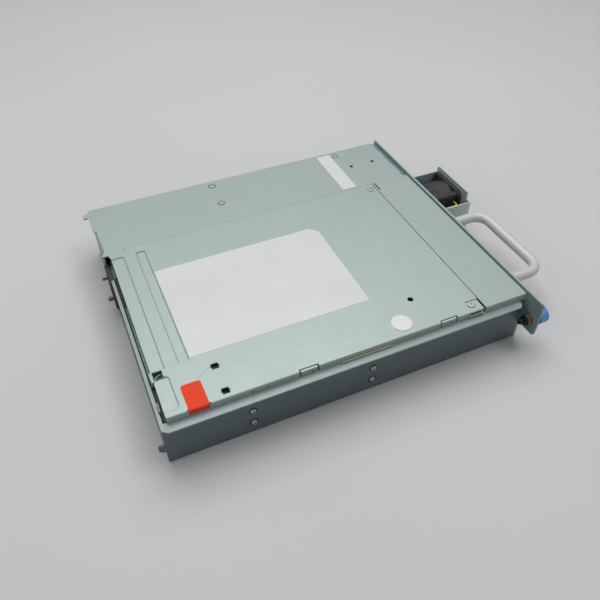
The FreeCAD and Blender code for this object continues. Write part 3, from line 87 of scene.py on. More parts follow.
class Finish:
    # one material: a Principled shader and the nodes that feed it
    def __init__(self, name, colour, roughness=0.5, metallic=0.0, coat=0.0):
        self.material = bpy.data.materials.new(name)
        self.material.use_nodes = True
        self.tree = self.material.node_tree
        self.shader = self.tree.nodes["Principled BSDF"]
        self.shader.inputs["Base Color"].default_value = (*colour, 1)
        self.shader.inputs["Roughness"].default_value = roughness
        self.shader.inputs["Metallic"].default_value = metallic
        self.shader.inputs["Coat Weight"].default_value = coat
        self.colour = colour
        self.places = self.node("ShaderNodeTexCoord", {}, {}, "Object")

    def node(self, kind, settings, inputs, output=0):
        made = self.tree.nodes.new(kind)
        for key, value in settings.items():
            if key == "stops":
                self.setStops(made.color_ramp, value)
            else:
                setattr(made, key, value)
        for key, value in inputs.items():
            if isinstance(value, Wire):
                self.tree.links.new(value.socket, made.inputs[key])
            else:
                made.inputs[key].default_value = value
        return Wire(self, made.outputs[output])

    def setStops(self, ramp, stops):
        while len(ramp.elements) < len(stops):
            ramp.elements.new(0.5)
        for element, (place, colour) in zip(ramp.elements, stops):
            element.position = place
            element.color = (*colour, 1)

    def stretch(self, scale, offset=(0, 0, 0)):
        return self.node("ShaderNodeMapping", {}, {"Vector": self.places, "Scale": scale, "Location": offset})

    def noise(self, scale, detail=3.0, rough=0.55, places=None):
        return self.node("ShaderNodeTexNoise", {}, {
            "Vector": places or self.places, "Scale": scale, "Detail": detail, "Roughness": rough})

    def cells(self, scale, output="Color", feature="F1", places=None):
        return self.node("ShaderNodeTexVoronoi", {"feature": feature}, {
            "Vector": places or self.places, "Scale": scale}, output)

    def grey(self, colour):
        return self.node("ShaderNodeRGBToBW", {}, {"Color": colour})

    def blend(self, factor, first, second):
        made = self.tree.nodes.new("ShaderNodeMix")
        made.data_type = "RGBA"
        for socket, value in ((made.inputs[0], factor), (made.inputs[6], first), (made.inputs[7], second)):
            if isinstance(value, Wire):
                self.tree.links.new(value.socket, socket)
            else:
                socket.default_value = (*value, 1) if isinstance(value, tuple) else value
        return Wire(self, made.outputs[2])

    def axis(self, letter):
        return self.node("ShaderNodeSeparateXYZ", {}, {"Vector": self.places}, letter)

    def bump(self, height, strength, depth):
        return self.node("ShaderNodeBump", {}, {"Height": height, "Strength": strength, "Distance": depth})

    def feed(self, **wires):
        for key, wire in wires.items():
            self.tree.links.new(wire.socket, self.shader.inputs[key.replace("_", " ")])
        return self


def tint(colour, amount):
    return tuple(channel * amount for channel in colour)


def zincSheet(name, colour, rough, look):
    finish = Finish(name, colour, rough, look["metallic"])
    crystals = finish.grey(finish.cells(look["spangle"], "Color", "F1"))
    cloud = finish.noise(look["cloud"], 5.0, 0.6)
    grain = finish.noise(900, 2.0, 0.5, finish.stretch((0.06, 1, 1)))
    smudge = finish.noise(31, 6.0, 0.7).above(0.7, 0.08)
    speck = finish.noise(420, 3.0, 0.6).above(0.74, 0.03)
    lines = finish.cells(26, "Distance", "DISTANCE_TO_EDGE", finish.stretch((0.35, 1, 1), (0.013, 0.007, 0)))
    scratch = (1 - lines.above(0.004, 0.003)) * finish.noise(38, 2.0, 0.5).above(0.62, 0.03)
    shade = finish.blend(crystals * look["crystal"], colour, tint(colour, 0.93))
    shade = finish.blend(cloud.above(0.5, 0.25) * 0.3, shade, tint(colour, 1.07))
    shade = finish.blend(smudge * 0.08, shade, tint(colour, 0.75))
    shade = finish.blend(speck * 0.3, shade, tint(colour, 0.55))
    shade = finish.blend(scratch * 0.3, shade, tint(colour, 0.55))
    # painted light: above the ledge height the sheet is painted in the lighter bright colour, a painted lit
    # top over a shaded side
    if "ledge" in look:
        paintedLitTop = finish.axis("Z").above(look["ledge"], 0.0002)
        shade = finish.blend(paintedLitTop * 0.85, shade, look["bright"])
    glow = crystals * 0.05 + cloud * 0.14 + grain * 0.06 + smudge * 0.06
    height = grain * 0.35 + crystals * 0.2 + cloud * 0.45 - scratch * 0.6
    finish.feed(Base_Color=shade, Roughness=glow + (rough - 0.13), Normal=finish.bump(height, 0.1, 0.0004))
    return finish.material


def brightSteel(name, colour, rough):
    finish = Finish(name, colour, rough, 0.95)
    scratch = finish.noise(1400, 2.0, 0.5, finish.stretch((1, 1, 0.1)))
    dull = finish.noise(160, 4.0, 0.6)
    shade = finish.blend(dull.above(0.55, 0.15) * 0.5, colour, tint(colour, 0.72))
    finish.feed(Base_Color=shade, Roughness=scratch * 0.15 + dull * 0.15 + (rough - 0.12),
                Normal=finish.bump(scratch, 0.1, 0.0002))
    return finish.material


def castMetal(name, colour, rough, metallic):
    finish = Finish(name, colour, rough, metallic)
    pits = finish.noise(700, 5.0, 0.7)
    cloud = finish.noise(30, 4.0, 0.6)
    shade = finish.blend(cloud.above(0.5, 0.2) * 0.4, colour, tint(colour, 0.84))
    finish.feed(Base_Color=shade, Roughness=pits * 0.2 + (rough - 0.1),
                Normal=finish.bump(pits, 0.25, 0.0004))
    return finish.material


def moulding(name, colour, rough, grain=900, coat=0.0):
    finish = Finish(name, colour, rough, 0.0, coat)
    texture = finish.noise(grain, 3.0, 0.6)
    dust = finish.noise(45, 6.0, 0.7).above(0.62, 0.12)
    shade = finish.blend(dust * 0.3, colour, tuple(min(1, channel * 1.25 + 0.015) for channel in colour))
    finish.feed(Base_Color=shade, Roughness=texture * 0.16 + dust * 0.12 + (rough - 0.1),
                Normal=finish.bump(texture, 0.18, 0.00025))
    return finish.material


def barFinish(name, colour):
    finish = Finish(name, colour, 0.45, 0.12)
    streak = finish.noise(1100, 3.0, 0.6, finish.stretch((1, 0.12, 1)))
    cloud = finish.noise(40, 4.0, 0.6)
    scuff = finish.noise(140, 3.0, 0.6).above(0.7, 0.03)
    shade = finish.blend(scuff * 0.35, colour, tint(colour, 0.7))
    finish.feed(Base_Color=shade, Roughness=streak * 0.1 + cloud * 0.12 + 0.34,
                Normal=finish.bump(streak, 0.06, 0.0002))
    return finish.material


def circuitBoard(name, colour, traceScale):
    finish = Finish(name, colour, 0.36, 0.0, 0.25)
    lanes = finish.cells(traceScale, "Distance", "DISTANCE_TO_EDGE", finish.stretch((1, 0.35, 0.1)))
    trace = 1 - lanes.above(0.06, 0.02)
    pads = 1 - finish.cells(traceScale * 2.2, "Distance", "F1").above(0.16, 0.02)
    shade = finish.blend(trace * 0.6, colour, tint(colour, 1.9))
    shade = finish.blend(pads, shade, (0.62, 0.58, 0.42))
    finish.feed(Base_Color=shade, Metallic=pads * 0.7, Normal=finish.bump(trace + pads, 0.25, 0.0002))
    return finish.material


def woundCoils(name, colour):
    finish = Finish(name, colour, 0.35, 0.6)
    turns = finish.node("ShaderNodeTexWave", {"wave_type": "RINGS", "rings_direction": "X"},
                        {"Vector": finish.places, "Scale": 900.0, "Distortion": 0.6}, "Fac")
    finish.feed(Base_Color=finish.blend(turns, tint(colour, 0.45), colour),
                Normal=finish.bump(turns, 0.5, 0.0003))
    return finish.material


def flatRibbon(name, colour, across):
    finish = Finish(name, colour, 0.48)
    lanes = finish.node("ShaderNodeTexWave", {"bands_direction": across},
                        {"Vector": finish.places, "Scale": 250.0}, "Fac")
    finish.feed(Base_Color=finish.blend(lanes, tint(colour, 0.62), colour),
                Normal=finish.bump(lanes, 0.6, 0.0004))
    return finish.material


def leadSkin(name, colour):
    finish = Finish(name, colour, 0.42)
    wax = finish.noise(500, 4.0, 0.6)
    shade = finish.blend(wax.above(0.55, 0.1) * 0.5, colour, tint(colour, 0.72))
    finish.feed(Base_Color=shade, Roughness=wax * 0.2 + 0.32, Normal=finish.bump(wax, 0.15, 0.0002))
    return finish.material


def paper(name, colour, rough, wear, coat=0.0):
    finish = Finish(name, colour, rough, 0.0, coat)
    fibre = finish.noise(2600, 5.0, 0.7)
    cloud = finish.noise(22, 5.0, 0.6)
    rub = finish.noise(75, 5.0, 0.65).above(0.66, 0.06)
    shade = finish.blend(cloud.above(0.52, 0.16) * 0.4, colour, tint(colour, 0.93))
    shade = finish.blend(rub * wear, shade, tint(colour, 0.72))
    finish.feed(Base_Color=shade, Roughness=fibre * 0.12 + cloud * 0.12 + (rough - 0.1),
                Normal=finish.bump(fibre * 0.3 + cloud * 0.7, 0.12, 0.0006))
    return finish.material


lidZinc = (0.415, 0.492, 0.468)
# painted shade: the tray's colour is darkened to stand for the shade on its near wall
trayZincPaintedShade = (0.132, 0.166, 0.172)
sheetLook = {"metallic": 0.35, "spangle": 150, "cloud": 14, "crystal": 0.4}
# painted light: the tray above 36.8 mm, its rail ledge, is painted in the lighter lit colour
trayLook = {**sheetLook, "ledge": 36.8 * mm, "bright": (0.31, 0.375, 0.36)}
# painted light: the rear panel above 44.8 mm is painted in the lighter lit colour of the lid
panelLook = {**sheetLook, "ledge": 44.8 * mm, "bright": (0.42, 0.50, 0.48)}
finishes = {
    "lid": zincSheet("lidZincSheet", lidZinc, 0.46, sheetLook),
    "shell": zincSheet("sledZincSheet", tint(lidZinc, 0.97), 0.48, sheetLook),
    "tray": zincSheet("trayZincSheet", trayZincPaintedShade, 0.44, trayLook),
    "panel": zincSheet("panelZincSheet", (0.24, 0.32, 0.32), 0.42, panelLook),
    "bracket": zincSheet("bracketZincSheet", (0.55, 0.62, 0.62), 0.40, sheetLook),
    "steel": brightSteel("brightSteel", (0.62, 0.63, 0.64), 0.32),
    "screw": brightSteel("zincScrew", (0.55, 0.56, 0.55), 0.36),
    "tin": brightSteel("tinnedShell", (0.72, 0.71, 0.68), 0.28),
    "cast": castMetal("castAlloy", (0.50, 0.51, 0.52), 0.5, 0.7),
    "bar": barFinish("satinBar", (0.63, 0.63, 0.61)),
    "black": moulding("blackMoulding", (0.022, 0.023, 0.025), 0.46),
    "fan": moulding("fanMoulding", (0.032, 0.033, 0.036), 0.3, 900, 0.35),
    "blue": moulding("blueKnob", (0.13, 0.37, 0.70), 0.38, 700, 0.1),
    "grey": moulding("greyMoulding", (0.16, 0.165, 0.17), 0.5),
    "pale": moulding("paleMoulding", (0.72, 0.70, 0.64), 0.45),
    "board": circuitBoard("greenBoard", (0.012, 0.13, 0.055), 420),
    "copper": woundCoils("woundCopper", (0.62, 0.28, 0.12)),
    "ribbonX": flatRibbon("boardRibbonSkin", (0.50, 0.51, 0.53), "X"),
    "ribbonY": flatRibbon("dockRibbonSkin", (0.50, 0.51, 0.53), "Y"),
    "yellow": leadSkin("yellowLead", (0.72, 0.50, 0.05)),
    "dark": leadSkin("blackLead", (0.02, 0.02, 0.02)),
    "label": paper("whiteLabel", (0.70, 0.71, 0.69), 0.42, 0.12, 0.15),
    "orange": paper("orangeSticker", (0.86, 0.045, 0.002), 0.68, 0.18),
    "dot": paper("paleDot", (0.80, 0.80, 0.74), 0.5, 0.3),
    "brass": brightSteel("brassRing", (0.42, 0.30, 0.20), 0.4),
    "sideScrew": brightSteel("sideScrew", (0.48, 0.49, 0.50), 0.2),
    "oxide": brightSteel("blackOxide", (0.05, 0.052, 0.055), 0.38),
    "dull": brightSteel("dullBrass", (0.26, 0.22, 0.16), 0.42),
    "gilt": brightSteel("giltContact", (0.85, 0.62, 0.25), 0.28),
    "foam": moulding("gasketStrip", (0.45, 0.38, 0.26), 0.7, 400),
}

nodeFinishes = {
    "lid": "drive_cover cover_clips",
    "shell": "sled_cover",
    "tray": "sled_tray",
    "panel": "rear_panel",
    "bracket": "fan_bracket fan_grille",
    "steel": "mechanism_pins head_posts loader_carriage cartridge_tray motor_pinion near_spring far_spring "
             "cover_posts",
    "screw": "cover_screws handle_screws drive_screws base_screws jack_posts load_motor",
    "tin": "port_shells",
    "dull": "docking_shell near_ferrule far_ferrule",
    "cast": "drive_chassis",
    "bar": "handle",
    "black": "mouth_frame near_washer far_washer docking_connector port_housing fan_socket supply_hub "
             "board_chips sled_board_parts ribbon_headers",
    "fan": "fan_frame fan_impeller",
    "blue": "near_knob far_knob",
    "grey": "tape_head threader_arm takeup_reel",
    "pale": "load_gear guide_roller_1 guide_roller_2 guide_roller_3 guide_roller_4",
    "board": "main_board sled_board docking_board",
    "copper": "fan_stator spindle_stators",
    "ribbonX": "board_ribbon",
    "ribbonY": "dock_ribbon",
    "yellow": "fan_lead_yellow",
    "dark": "fan_lead_black",
}
for finishName, names in nodeFinishes.items():
    for nodeName in names.split():
        nodes[nodeName].data.materials.clear()
        nodes[nodeName].data.materials.append(finishes[finishName])
print("finishes on the carried-over nodes")


def clearPick():
    bpy.ops.object.select_all(action="DESELECT")


def point(*values):
    return Vector(values) * mm


def applyPlace():
    bpy.ops.object.transform_apply(location=True, rotation=True, scale=True)


def finishPiece(name, finish, body):
    # names the active object, fixes its place in its mesh and gives it its finish
    piece = bpy.context.object
    piece.name = name
    piece.data.name = name
    applyPlace()
    piece.data.materials.clear()
    piece.data.materials.append(finishes[finish])
    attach(piece, body)
    return piece


def pickFaces(chosen):
    # leaves the active mesh in edit mode with the faces for which chosen(face) is true
    piece = bpy.context.object
    bpy.ops.object.mode_set(mode="EDIT")
    bpy.ops.mesh.select_mode(type="FACE")
    bpy.ops.mesh.select_all(action="DESELECT")
    bpy.ops.object.mode_set(mode="OBJECT")
    for face in piece.data.polygons:
        face.select = chosen(face)
    bpy.ops.object.mode_set(mode="EDIT")


def addModifier(kind, **settings):
    piece = bpy.context.object
    made = piece.modifiers.new(kind.lower(), kind)
    for key, value in settings.items():
        setattr(made, key, value)
    bpy.ops.object.modifier_apply(modifier=made.name)


def roundEdges(width, segments=2):
    addModifier("BEVEL", width=width * mm, segments=segments, limit_method="ANGLE",
                angle_limit=math.radians(35))


def closeEnds():
    # caps the open ends of a wound form and turns its faces outward
    bpy.ops.object.mode_set(mode="EDIT")
    bpy.ops.mesh.select_mode(type="EDGE")
    bpy.ops.mesh.select_all(action="DESELECT")
    bpy.ops.mesh.select_non_manifold()
    bpy.ops.mesh.fill_holes(sides=0)
    bpy.ops.mesh.select_all(action="SELECT")
    bpy.ops.mesh.normals_make_consistent(inside=False)
    bpy.ops.object.mode_set(mode="OBJECT")


def joinAll(parts):
    # makes one object out of several and leaves it active
    clearPick()
    for part in parts:
        part.select_set(True)
    bpy.context.view_layer.objects.active = parts[0]
    bpy.ops.object.join()
    return bpy.context.object


def block(low, high, edge=0.0):
    # a closed block between two corners, in millimetres, with its edges rounded
    clearPick()
    bpy.ops.mesh.primitive_cube_add(size=1, location=(point(*low) + point(*high)) / 2)
    made = bpy.context.object
    made.scale = point(*high) - point(*low)
    applyPlace()
    if edge:
        roundEdges(edge)
    return made


def flatPatch(low, high, z, thick, corner):
    # a thin sheet with rounded corners lying on a level face
    clearPick()
    middle = ((low[0] + high[0]) / 2 * mm, (low[1] + high[1]) / 2 * mm, z)
    bpy.ops.mesh.primitive_plane_add(size=1, location=middle)
    patch = bpy.context.object
    patch.scale = ((high[0] - low[0]) * mm, (high[1] - low[1]) * mm, 1)
    applyPlace()
    bpy.ops.object.mode_set(mode="EDIT")
    bpy.ops.mesh.select_all(action="SELECT")
    bpy.ops.mesh.bevel(offset=corner * mm, segments=5, affect="VERTICES")
    bpy.ops.object.mode_set(mode="OBJECT")
    addModifier("SOLIDIFY", thickness=thick * mm, offset=1)
    return patch


def crossCutter(spec):
    # the tapered cross that a driver bit fills, pointing down from the origin
    wings = []
    for turn in (0, 90):
        clearPick()
        bpy.ops.mesh.primitive_cube_add(size=1)
        wing = bpy.context.object
        wing.scale = point(spec["cross"], spec["slot"], spec["deep"] * 2)
        wing.rotation_euler.z = math.radians(turn)
        applyPlace()
        pickFaces(lambda face: face.normal.z < -0.9)
        bpy.ops.transform.resize(value=(0.35, 0.35, 1))
        bpy.ops.object.mode_set(mode="OBJECT")
        wings.append(wing)
    return wings


def crossHead(spec, place, turn):
    # one screw: a rounded head with a cross recess, and its shank below
    clearPick()
    bpy.ops.mesh.primitive_cylinder_add(vertices=40, radius=spec["radius"] * mm, depth=spec["high"] * mm,
                                        location=(0, 0, spec["high"] / 2 * mm))
    head = bpy.context.object
    applyPlace()
    pickFaces(lambda face: face.normal.z > 0.9)
    bpy.ops.transform.resize(value=(spec["crown"], spec["crown"], 1))
    bpy.ops.object.mode_set(mode="OBJECT")
    roundEdges(spec["edge"], 4)
    pickFaces(lambda face: face.normal.z < -0.9)
    bpy.ops.mesh.inset(thickness=(spec["radius"] - spec["edge"] - spec["shank"]) * mm)
    bpy.ops.mesh.extrude_region_move(TRANSFORM_OT_translate={"value": (0, 0, -spec["long"] * mm)})
    bpy.ops.object.mode_set(mode="OBJECT")
    for wing in crossCutter(spec):
        wing.location = point(0, 0, spec["high"])
        bpy.context.view_layer.objects.active = head
        addModifier("BOOLEAN", operation="DIFFERENCE", object=wing, solver="EXACT")
        bpy.data.objects.remove(wing, do_unlink=True)
    clearPick()
    head.select_set(True)
    bpy.context.view_layer.objects.active = head
    head.rotation_euler = turn
    head.location = point(*place)
    applyPlace()
    return head


def labelSheet():
    spec = {"low": (-98.0, -69.8), "high": (26.8, 16.1), "corner": 1.2, "thick": 0.12, "cut": (5.9, 4.7)}
    flatPatch(spec["low"], spec["high"], coverTop * mm, spec["thick"], spec["corner"])
    bpy.ops.object.mode_set(mode="EDIT")
    bpy.ops.mesh.select_all(action="SELECT")
    cornerPlace = point(spec["high"][0], spec["high"][1] - spec["cut"][0], coverTop)
    bpy.ops.mesh.bisect(plane_co=cornerPlace, plane_no=(spec["cut"][0], spec["cut"][1], 0), use_fill=True,
                        clear_outer=True)
    bpy.ops.object.mode_set(mode="OBJECT")
    finishPiece("paper_label", "label", "sled")


def sideSheet():
    spec = {"low": (68.5, 51.6), "high": (80.5, 104.2), "corner": 0.8, "thick": 0.12}
    flatPatch(spec["low"], spec["high"], coverTop * mm, spec["thick"], spec["corner"])
    finishPiece("side_label", "label", "sled")


def roundDot():
    # a soft round pad stuck on the cover, crowned towards its middle
    spec = {"place": (35.4, -97.2), "radius": 6.9, "thick": 0.4, "rim": 0.7, "crown": 0.06, "edge": 0.12}
    clearPick()
    bpy.ops.mesh.primitive_cylinder_add(vertices=64, radius=spec["radius"] * mm, depth=spec["thick"] * mm,
                                        location=point(*spec["place"], coverTop + spec["thick"] / 2))
    applyPlace()
    pickFaces(lambda face: face.normal.z > 0.9)
    bpy.ops.mesh.inset(thickness=spec["rim"] * mm, depth=spec["crown"] * mm)
    bpy.ops.object.mode_set(mode="OBJECT")
    roundEdges(spec["edge"])
    finishPiece("round_dot", "dot", "sled")


def orangeWrap():
    # a sticker that runs over the fold of the cover and down its side
    spec = {"x": (-109.8, -97.3), "y": -88.5, "bend": -106.6, "foot": 39.4, "thick": 0.12, "corner": 1.8,
            "round": 0.92}
    left, right = spec["x"]
    clearPick()
    middle = point((left + right) / 2, (spec["y"] + spec["bend"]) / 2, coverTop + proud)
    bpy.ops.mesh.primitive_plane_add(size=1, location=middle)
    wrap = bpy.context.object
    wrap.scale = point(right - left, spec["y"] - spec["bend"], 1000)
    applyPlace()
    bpy.ops.object.mode_set(mode="EDIT")
    bpy.ops.mesh.select_mode(type="VERT")
    bpy.ops.mesh.select_all(action="DESELECT")
    bpy.ops.object.mode_set(mode="OBJECT")
    for corner in wrap.data.vertices:
        corner.select = corner.co.y > (spec["y"] - 0.1) * mm
    bpy.ops.object.mode_set(mode="EDIT")
    bpy.ops.mesh.bevel(offset=spec["corner"] * mm, segments=6, affect="VERTICES")
    bpy.ops.mesh.select_mode(type="EDGE")
    bpy.ops.mesh.select_all(action="DESELECT")
    bpy.ops.object.mode_set(mode="OBJECT")
    for edge in wrap.data.edges:
        ends = [wrap.data.vertices[index].co.y for index in edge.vertices]
        edge.select = max(ends) < (spec["bend"] + 0.1) * mm
    bpy.ops.object.mode_set(mode="EDIT")
    steps = 6
    for step in range(steps):
        turn, last = [math.radians(90 * place / steps) for place in (step + 1, step)]
        across, down = [share * spec["round"] * mm for share in
                        (math.sin(turn) - math.sin(last), math.cos(last) - math.cos(turn))]
        move = (0, -across, -down)
        bpy.ops.mesh.extrude_region_move(TRANSFORM_OT_translate={"value": move})
    foldEnd = coverTop + proud - spec["round"]
    bpy.ops.mesh.extrude_region_move(TRANSFORM_OT_translate={"value": (0, 0, (spec["foot"] - foldEnd) * mm)})
    bpy.ops.mesh.select_all(action="SELECT")
    bpy.ops.mesh.normals_make_consistent(inside=False)
    bpy.ops.object.mode_set(mode="OBJECT")
    addModifier("SOLIDIFY", thickness=spec["thick"] * mm, offset=1)
    finishPiece("orange_sticker", "orange", "sled")


def coverHeads():
    spec = {"radius": 2.75, "crown": 0.86, "high": 1.0, "edge": 0.4, "shank": 1.4, "long": 7.5,
            "cross": 3.0, "slot": 0.75, "deep": 0.7}
    places = [(-28.1, 100.1), (-28.3, 74.9), (84.6, 100.5), (88.7, 42.6), (85.9, -101.6)]
    heads = [crossHead(spec, (x, y, coverTop), (0, 0, math.radians(20 + 31 * index)))
             for index, (x, y) in enumerate(places)]
    joinAll(heads)
    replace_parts(finishPiece("cover_heads", "screw", "sled"), "cover_screws")


def sideHeads():
    spec = {"radius": 2.35, "crown": 0.72, "high": 1.15, "edge": 0.42, "shank": 1.4, "long": 3.4,
            "cross": 2.5, "slot": 0.7, "deep": 0.8}
    heads = [crossHead(spec, (x, nearWall, z), (math.radians(90), math.radians(25 * index), 0))
             for index, (x, z) in enumerate(sideScrews)]
    joinAll(heads)
    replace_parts(finishPiece("side_heads", "sideScrew", "sled"), "drive_screws")


def sideSeats():
    # near-black rings under the drive's side screws, darkening the wall round each head: partly dirt, partly
    # painted shade
    spec = {"outer": 2.85, "thick": 0.3, "rim": 0.6, "dish": 0.05, "edge": 0.12}
    washers = []
    for x, z in sideScrews:
        clearPick()
        bpy.ops.mesh.primitive_cylinder_add(vertices=48, radius=spec["outer"] * mm, depth=spec["thick"] * mm,
                                            location=point(x, nearWall - spec["thick"] / 2, z),
                                            rotation=(math.radians(90), 0, 0))
        applyPlace()
        pickFaces(lambda face: abs(face.normal.y) > 0.9)
        bpy.ops.mesh.inset(thickness=spec["rim"] * mm, depth=-spec["dish"] * mm)
        bpy.ops.object.mode_set(mode="OBJECT")
        roundEdges(spec["edge"])
        washers.append(bpy.context.object)
    joinAll(washers)
    finishPiece("side_dark_rings", "oxide", "sled")


def screwSeats():
    # the thin pressed rings that the heads of both cover screws beside the drive sit in
    spec = {"places": [(-28.1, 100.1), (-28.3, 74.9)], "outer": 3.15, "wire": 0.22}
    rings = []
    for x, y in spec["places"]:
        clearPick()
        bpy.ops.mesh.primitive_torus_add(major_radius=spec["outer"] * mm, minor_radius=spec["wire"] * mm,
                                         major_segments=48, minor_segments=10,
                                         location=point(x, y, coverTop + proud))
        bpy.context.object.scale = (1, 1, 0.6)
        applyPlace()
        rings.append(bpy.context.object)
    joinAll(rings)
    finishPiece("screw_seats", "brass", "sled")


def gasketStrip():
    spec = {"low": (-13.0, -108.6, 38.05), "high": (23.0, -107.55, 39.3), "edge": 0.3}
    block(spec["low"], spec["high"], spec["edge"])
    finishPiece("gasket_strip", "foam", "sled")


def windowEdge():
    # the narrow strip of the cover in front of its window
    spec = {"low": (-124.2, -79.6, 42.0), "high": (-122.62, -71.7, 43.0), "edge": 0.25}
    block(spec["low"], spec["high"], spec["edge"])
    finishPiece("window_edge", "lid", "sled")


def flexLoop():
    # a short flat lead that curves through the cover's window
    spec = {"place": (-116.6, -78.6, 40.6), "reach": 5.5, "wire": 0.3}
    clearPick()
    bpy.ops.mesh.primitive_torus_add(major_radius=spec["reach"] * mm, minor_radius=spec["wire"] * mm,
                                     major_segments=72, minor_segments=10, location=point(*spec["place"]))
    applyPlace()
    bpy.ops.object.mode_set(mode="EDIT")
    for side in ((1, 0, 0), (0, -1, 0)):
        bpy.ops.mesh.select_all(action="SELECT")
        bpy.ops.mesh.bisect(plane_co=point(*spec["place"]), plane_no=side, use_fill=True, clear_outer=True)
    bpy.ops.mesh.select_all(action="SELECT")
    bpy.ops.mesh.normals_make_consistent(inside=False)
    bpy.ops.object.mode_set(mode="OBJECT")
    finishPiece("flex_loop", "foam", "sled")


def frontGasket():
    spec = {"low": (-125.2, -99.0, 38.8), "high": (-124.5, -92.5, 40.4), "edge": 0.2}
    block(spec["low"], spec["high"], spec["edge"])
    finishPiece("front_gasket", "foam", "sled")


def fanCorners():
    # the webs between the flanges of the fan's frame; the open corner shows the bracket behind
    spec = {"start": 136.3, "end": 157.1, "middle": (34.1, 19.0), "inner": 12.7, "outer": 17.9, "edge": 1.1}
    webs = []
    for across, up in ((-1, -1), (-1, 1), (1, -1)):
        ends = [(spec["middle"][0] + across * reach, spec["middle"][1] + up * reach)
                for reach in (spec["inner"], spec["outer"])]
        low = [min(pair) for pair in zip(*ends)]
        high = [max(pair) for pair in zip(*ends)]
        webs.append(block((spec["start"], *low), (spec["end"], *high), spec["edge"]))
    joinAll(webs)
    finishPiece("fan_corners", "fan", "sled")


def coilSpring(side, y, z):
    # a round wire wound by a screw modifier; the spring it stands for shortens when the knob is pulled in
    spec = {"start": 125.5, "end": 131.8, "coil": 2.75, "wire": 0.3, "turns": 5, "travel": 1.5}
    wound = spec["end"] - spec["start"] - spec["wire"] * 2
    clearPick()
    bpy.ops.mesh.primitive_circle_add(vertices=12, radius=spec["wire"] * mm, fill_type="NOTHING",
                                      location=(spec["coil"] * mm, 0, 0), rotation=(math.radians(90), 0, 0))
    applyPlace()
    addModifier("SCREW", axis="Z", angle=math.radians(360 * spec["turns"]), screw_offset=wound * mm,
                steps=28 * spec["turns"], render_steps=28 * spec["turns"], use_merge_vertices=False)
    closeEnds()
    bpy.context.object.rotation_euler = (0, math.radians(90), 0)
    bpy.context.object.location = point(spec["start"] + spec["wire"], y, z)
    spring = finishPiece(f"{side}_coil", "steel", "sled")
    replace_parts(spring, f"{side}_spring")
    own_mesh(spring)


def knobGrip(side, y, z):
    # a moulded knob with pressed-in flutes and a driver slot over the turned shank
    spec = {"start": 133.1, "end": 140.1, "radius": 5.9, "flutes": 28, "slot": (7.8, 1.0, 1.1)}
    clearPick()
    bpy.ops.mesh.primitive_cylinder_add(vertices=spec["flutes"] * 2, radius=(spec["radius"] - 0.02) * mm,
                                        depth=(spec["end"] - spec["start"]) * mm)
    knob = bpy.context.object
    pickFaces(lambda face: face.normal.z > 0.9)
    bpy.ops.mesh.bevel(offset=0.7 * mm, segments=4, affect="EDGES")
    bpy.ops.object.mode_set(mode="OBJECT")
    pickFaces(lambda face: abs(face.normal.z) < 0.1 and face.area > 3 * mm * mm
              and int(math.atan2(face.center.y, face.center.x) / math.pi * spec["flutes"] + 1000) % 2 == 0)
    bpy.ops.mesh.inset(thickness=0.12 * mm, depth=-0.3 * mm, use_individual=True)
    bpy.ops.object.mode_set(mode="OBJECT")
    clearPick()
    bpy.ops.mesh.primitive_cube_add(size=1, location=(0, 0, (spec["end"] - spec["start"]) / 2 * mm))
    slot = bpy.context.object
    slot.scale = point(spec["slot"][0], spec["slot"][1], spec["slot"][2] * 2)
    applyPlace()
    clearPick()
    knob.select_set(True)
    bpy.context.view_layer.objects.active = knob
    addModifier("BOOLEAN", operation="DIFFERENCE", object=slot, solver="EXACT")
    bpy.data.objects.remove(slot, do_unlink=True)
    knob.rotation_euler = (0, math.radians(90), 0)
    knob.location = point((spec["start"] + spec["end"]) / 2, y, z)
    return knob


def knobShank(side, y, z):
    # the turned steel screw with its retaining ring and cut thread
    spec = {"tip": 118.7, "ring": (122.3, 123.7), "end": 133.4, "radius": 2.0, "core": 1.62, "collar": 3.2,
            "pitch": 0.7, "turns": 4}
    steps = [(spec["tip"], spec["ring"][0], spec["core"]), (spec["ring"][0], spec["ring"][1], spec["collar"]),
             (spec["ring"][1], spec["end"], spec["radius"])]
    parts = []
    for start, stop, radius in steps:
        clearPick()
        bpy.ops.mesh.primitive_cylinder_add(vertices=36, radius=radius * mm, depth=(stop - start) * mm,
                                            location=point((start + stop) / 2, 0, 0),
                                            rotation=(0, math.radians(90), 0))
        applyPlace()
        roundEdges(0.25)
        parts.append(bpy.context.object)
    clearPick()
    depth = spec["radius"] - spec["core"]
    bpy.ops.mesh.primitive_circle_add(vertices=3, radius=depth * mm, fill_type="NOTHING",
                                      location=point(spec["core"] + depth * 0.4, 0, 0),
                                      rotation=(math.radians(90), math.radians(90), 0))
    applyPlace()
    addModifier("SCREW", axis="Z", angle=math.radians(360 * spec["turns"]), steps=20 * spec["turns"],
                screw_offset=spec["pitch"] * spec["turns"] * mm, render_steps=20 * spec["turns"])
    closeEnds()
    bpy.context.object.rotation_euler = (0, math.radians(90), 0)
    bpy.context.object.location = point(spec["tip"] + 0.5, 0, 0)
    parts.append(bpy.context.object)
    applyPlace()
    joinAll(parts)
    bpy.context.object.location = point(0, y, z)


def portContacts():
    # two rows of gilt contacts in each of the host ports
    spec = {"ports": (13.6, 31.0), "rows": (-1.5, 1.5), "first": 64.8, "pitch": 0.92, "count": 34,
            "start": 129.4, "end": 132.4, "half": 0.2}
    sets = []
    for port in spec["ports"]:
        for rowPlace in spec["rows"]:
            z = port + rowPlace
            block((spec["start"], spec["first"] - spec["half"], z - spec["half"]),
                  (spec["end"], spec["first"] + spec["half"], z + spec["half"]), 0.08)
            addModifier("ARRAY", count=spec["count"], use_relative_offset=False, use_constant_offset=True,
                        constant_offset_displace=(0, spec["pitch"] * mm, 0))
            sets.append(bpy.context.object)
    joinAll(sets)
    finishPiece("port_contacts", "gilt", "sled")


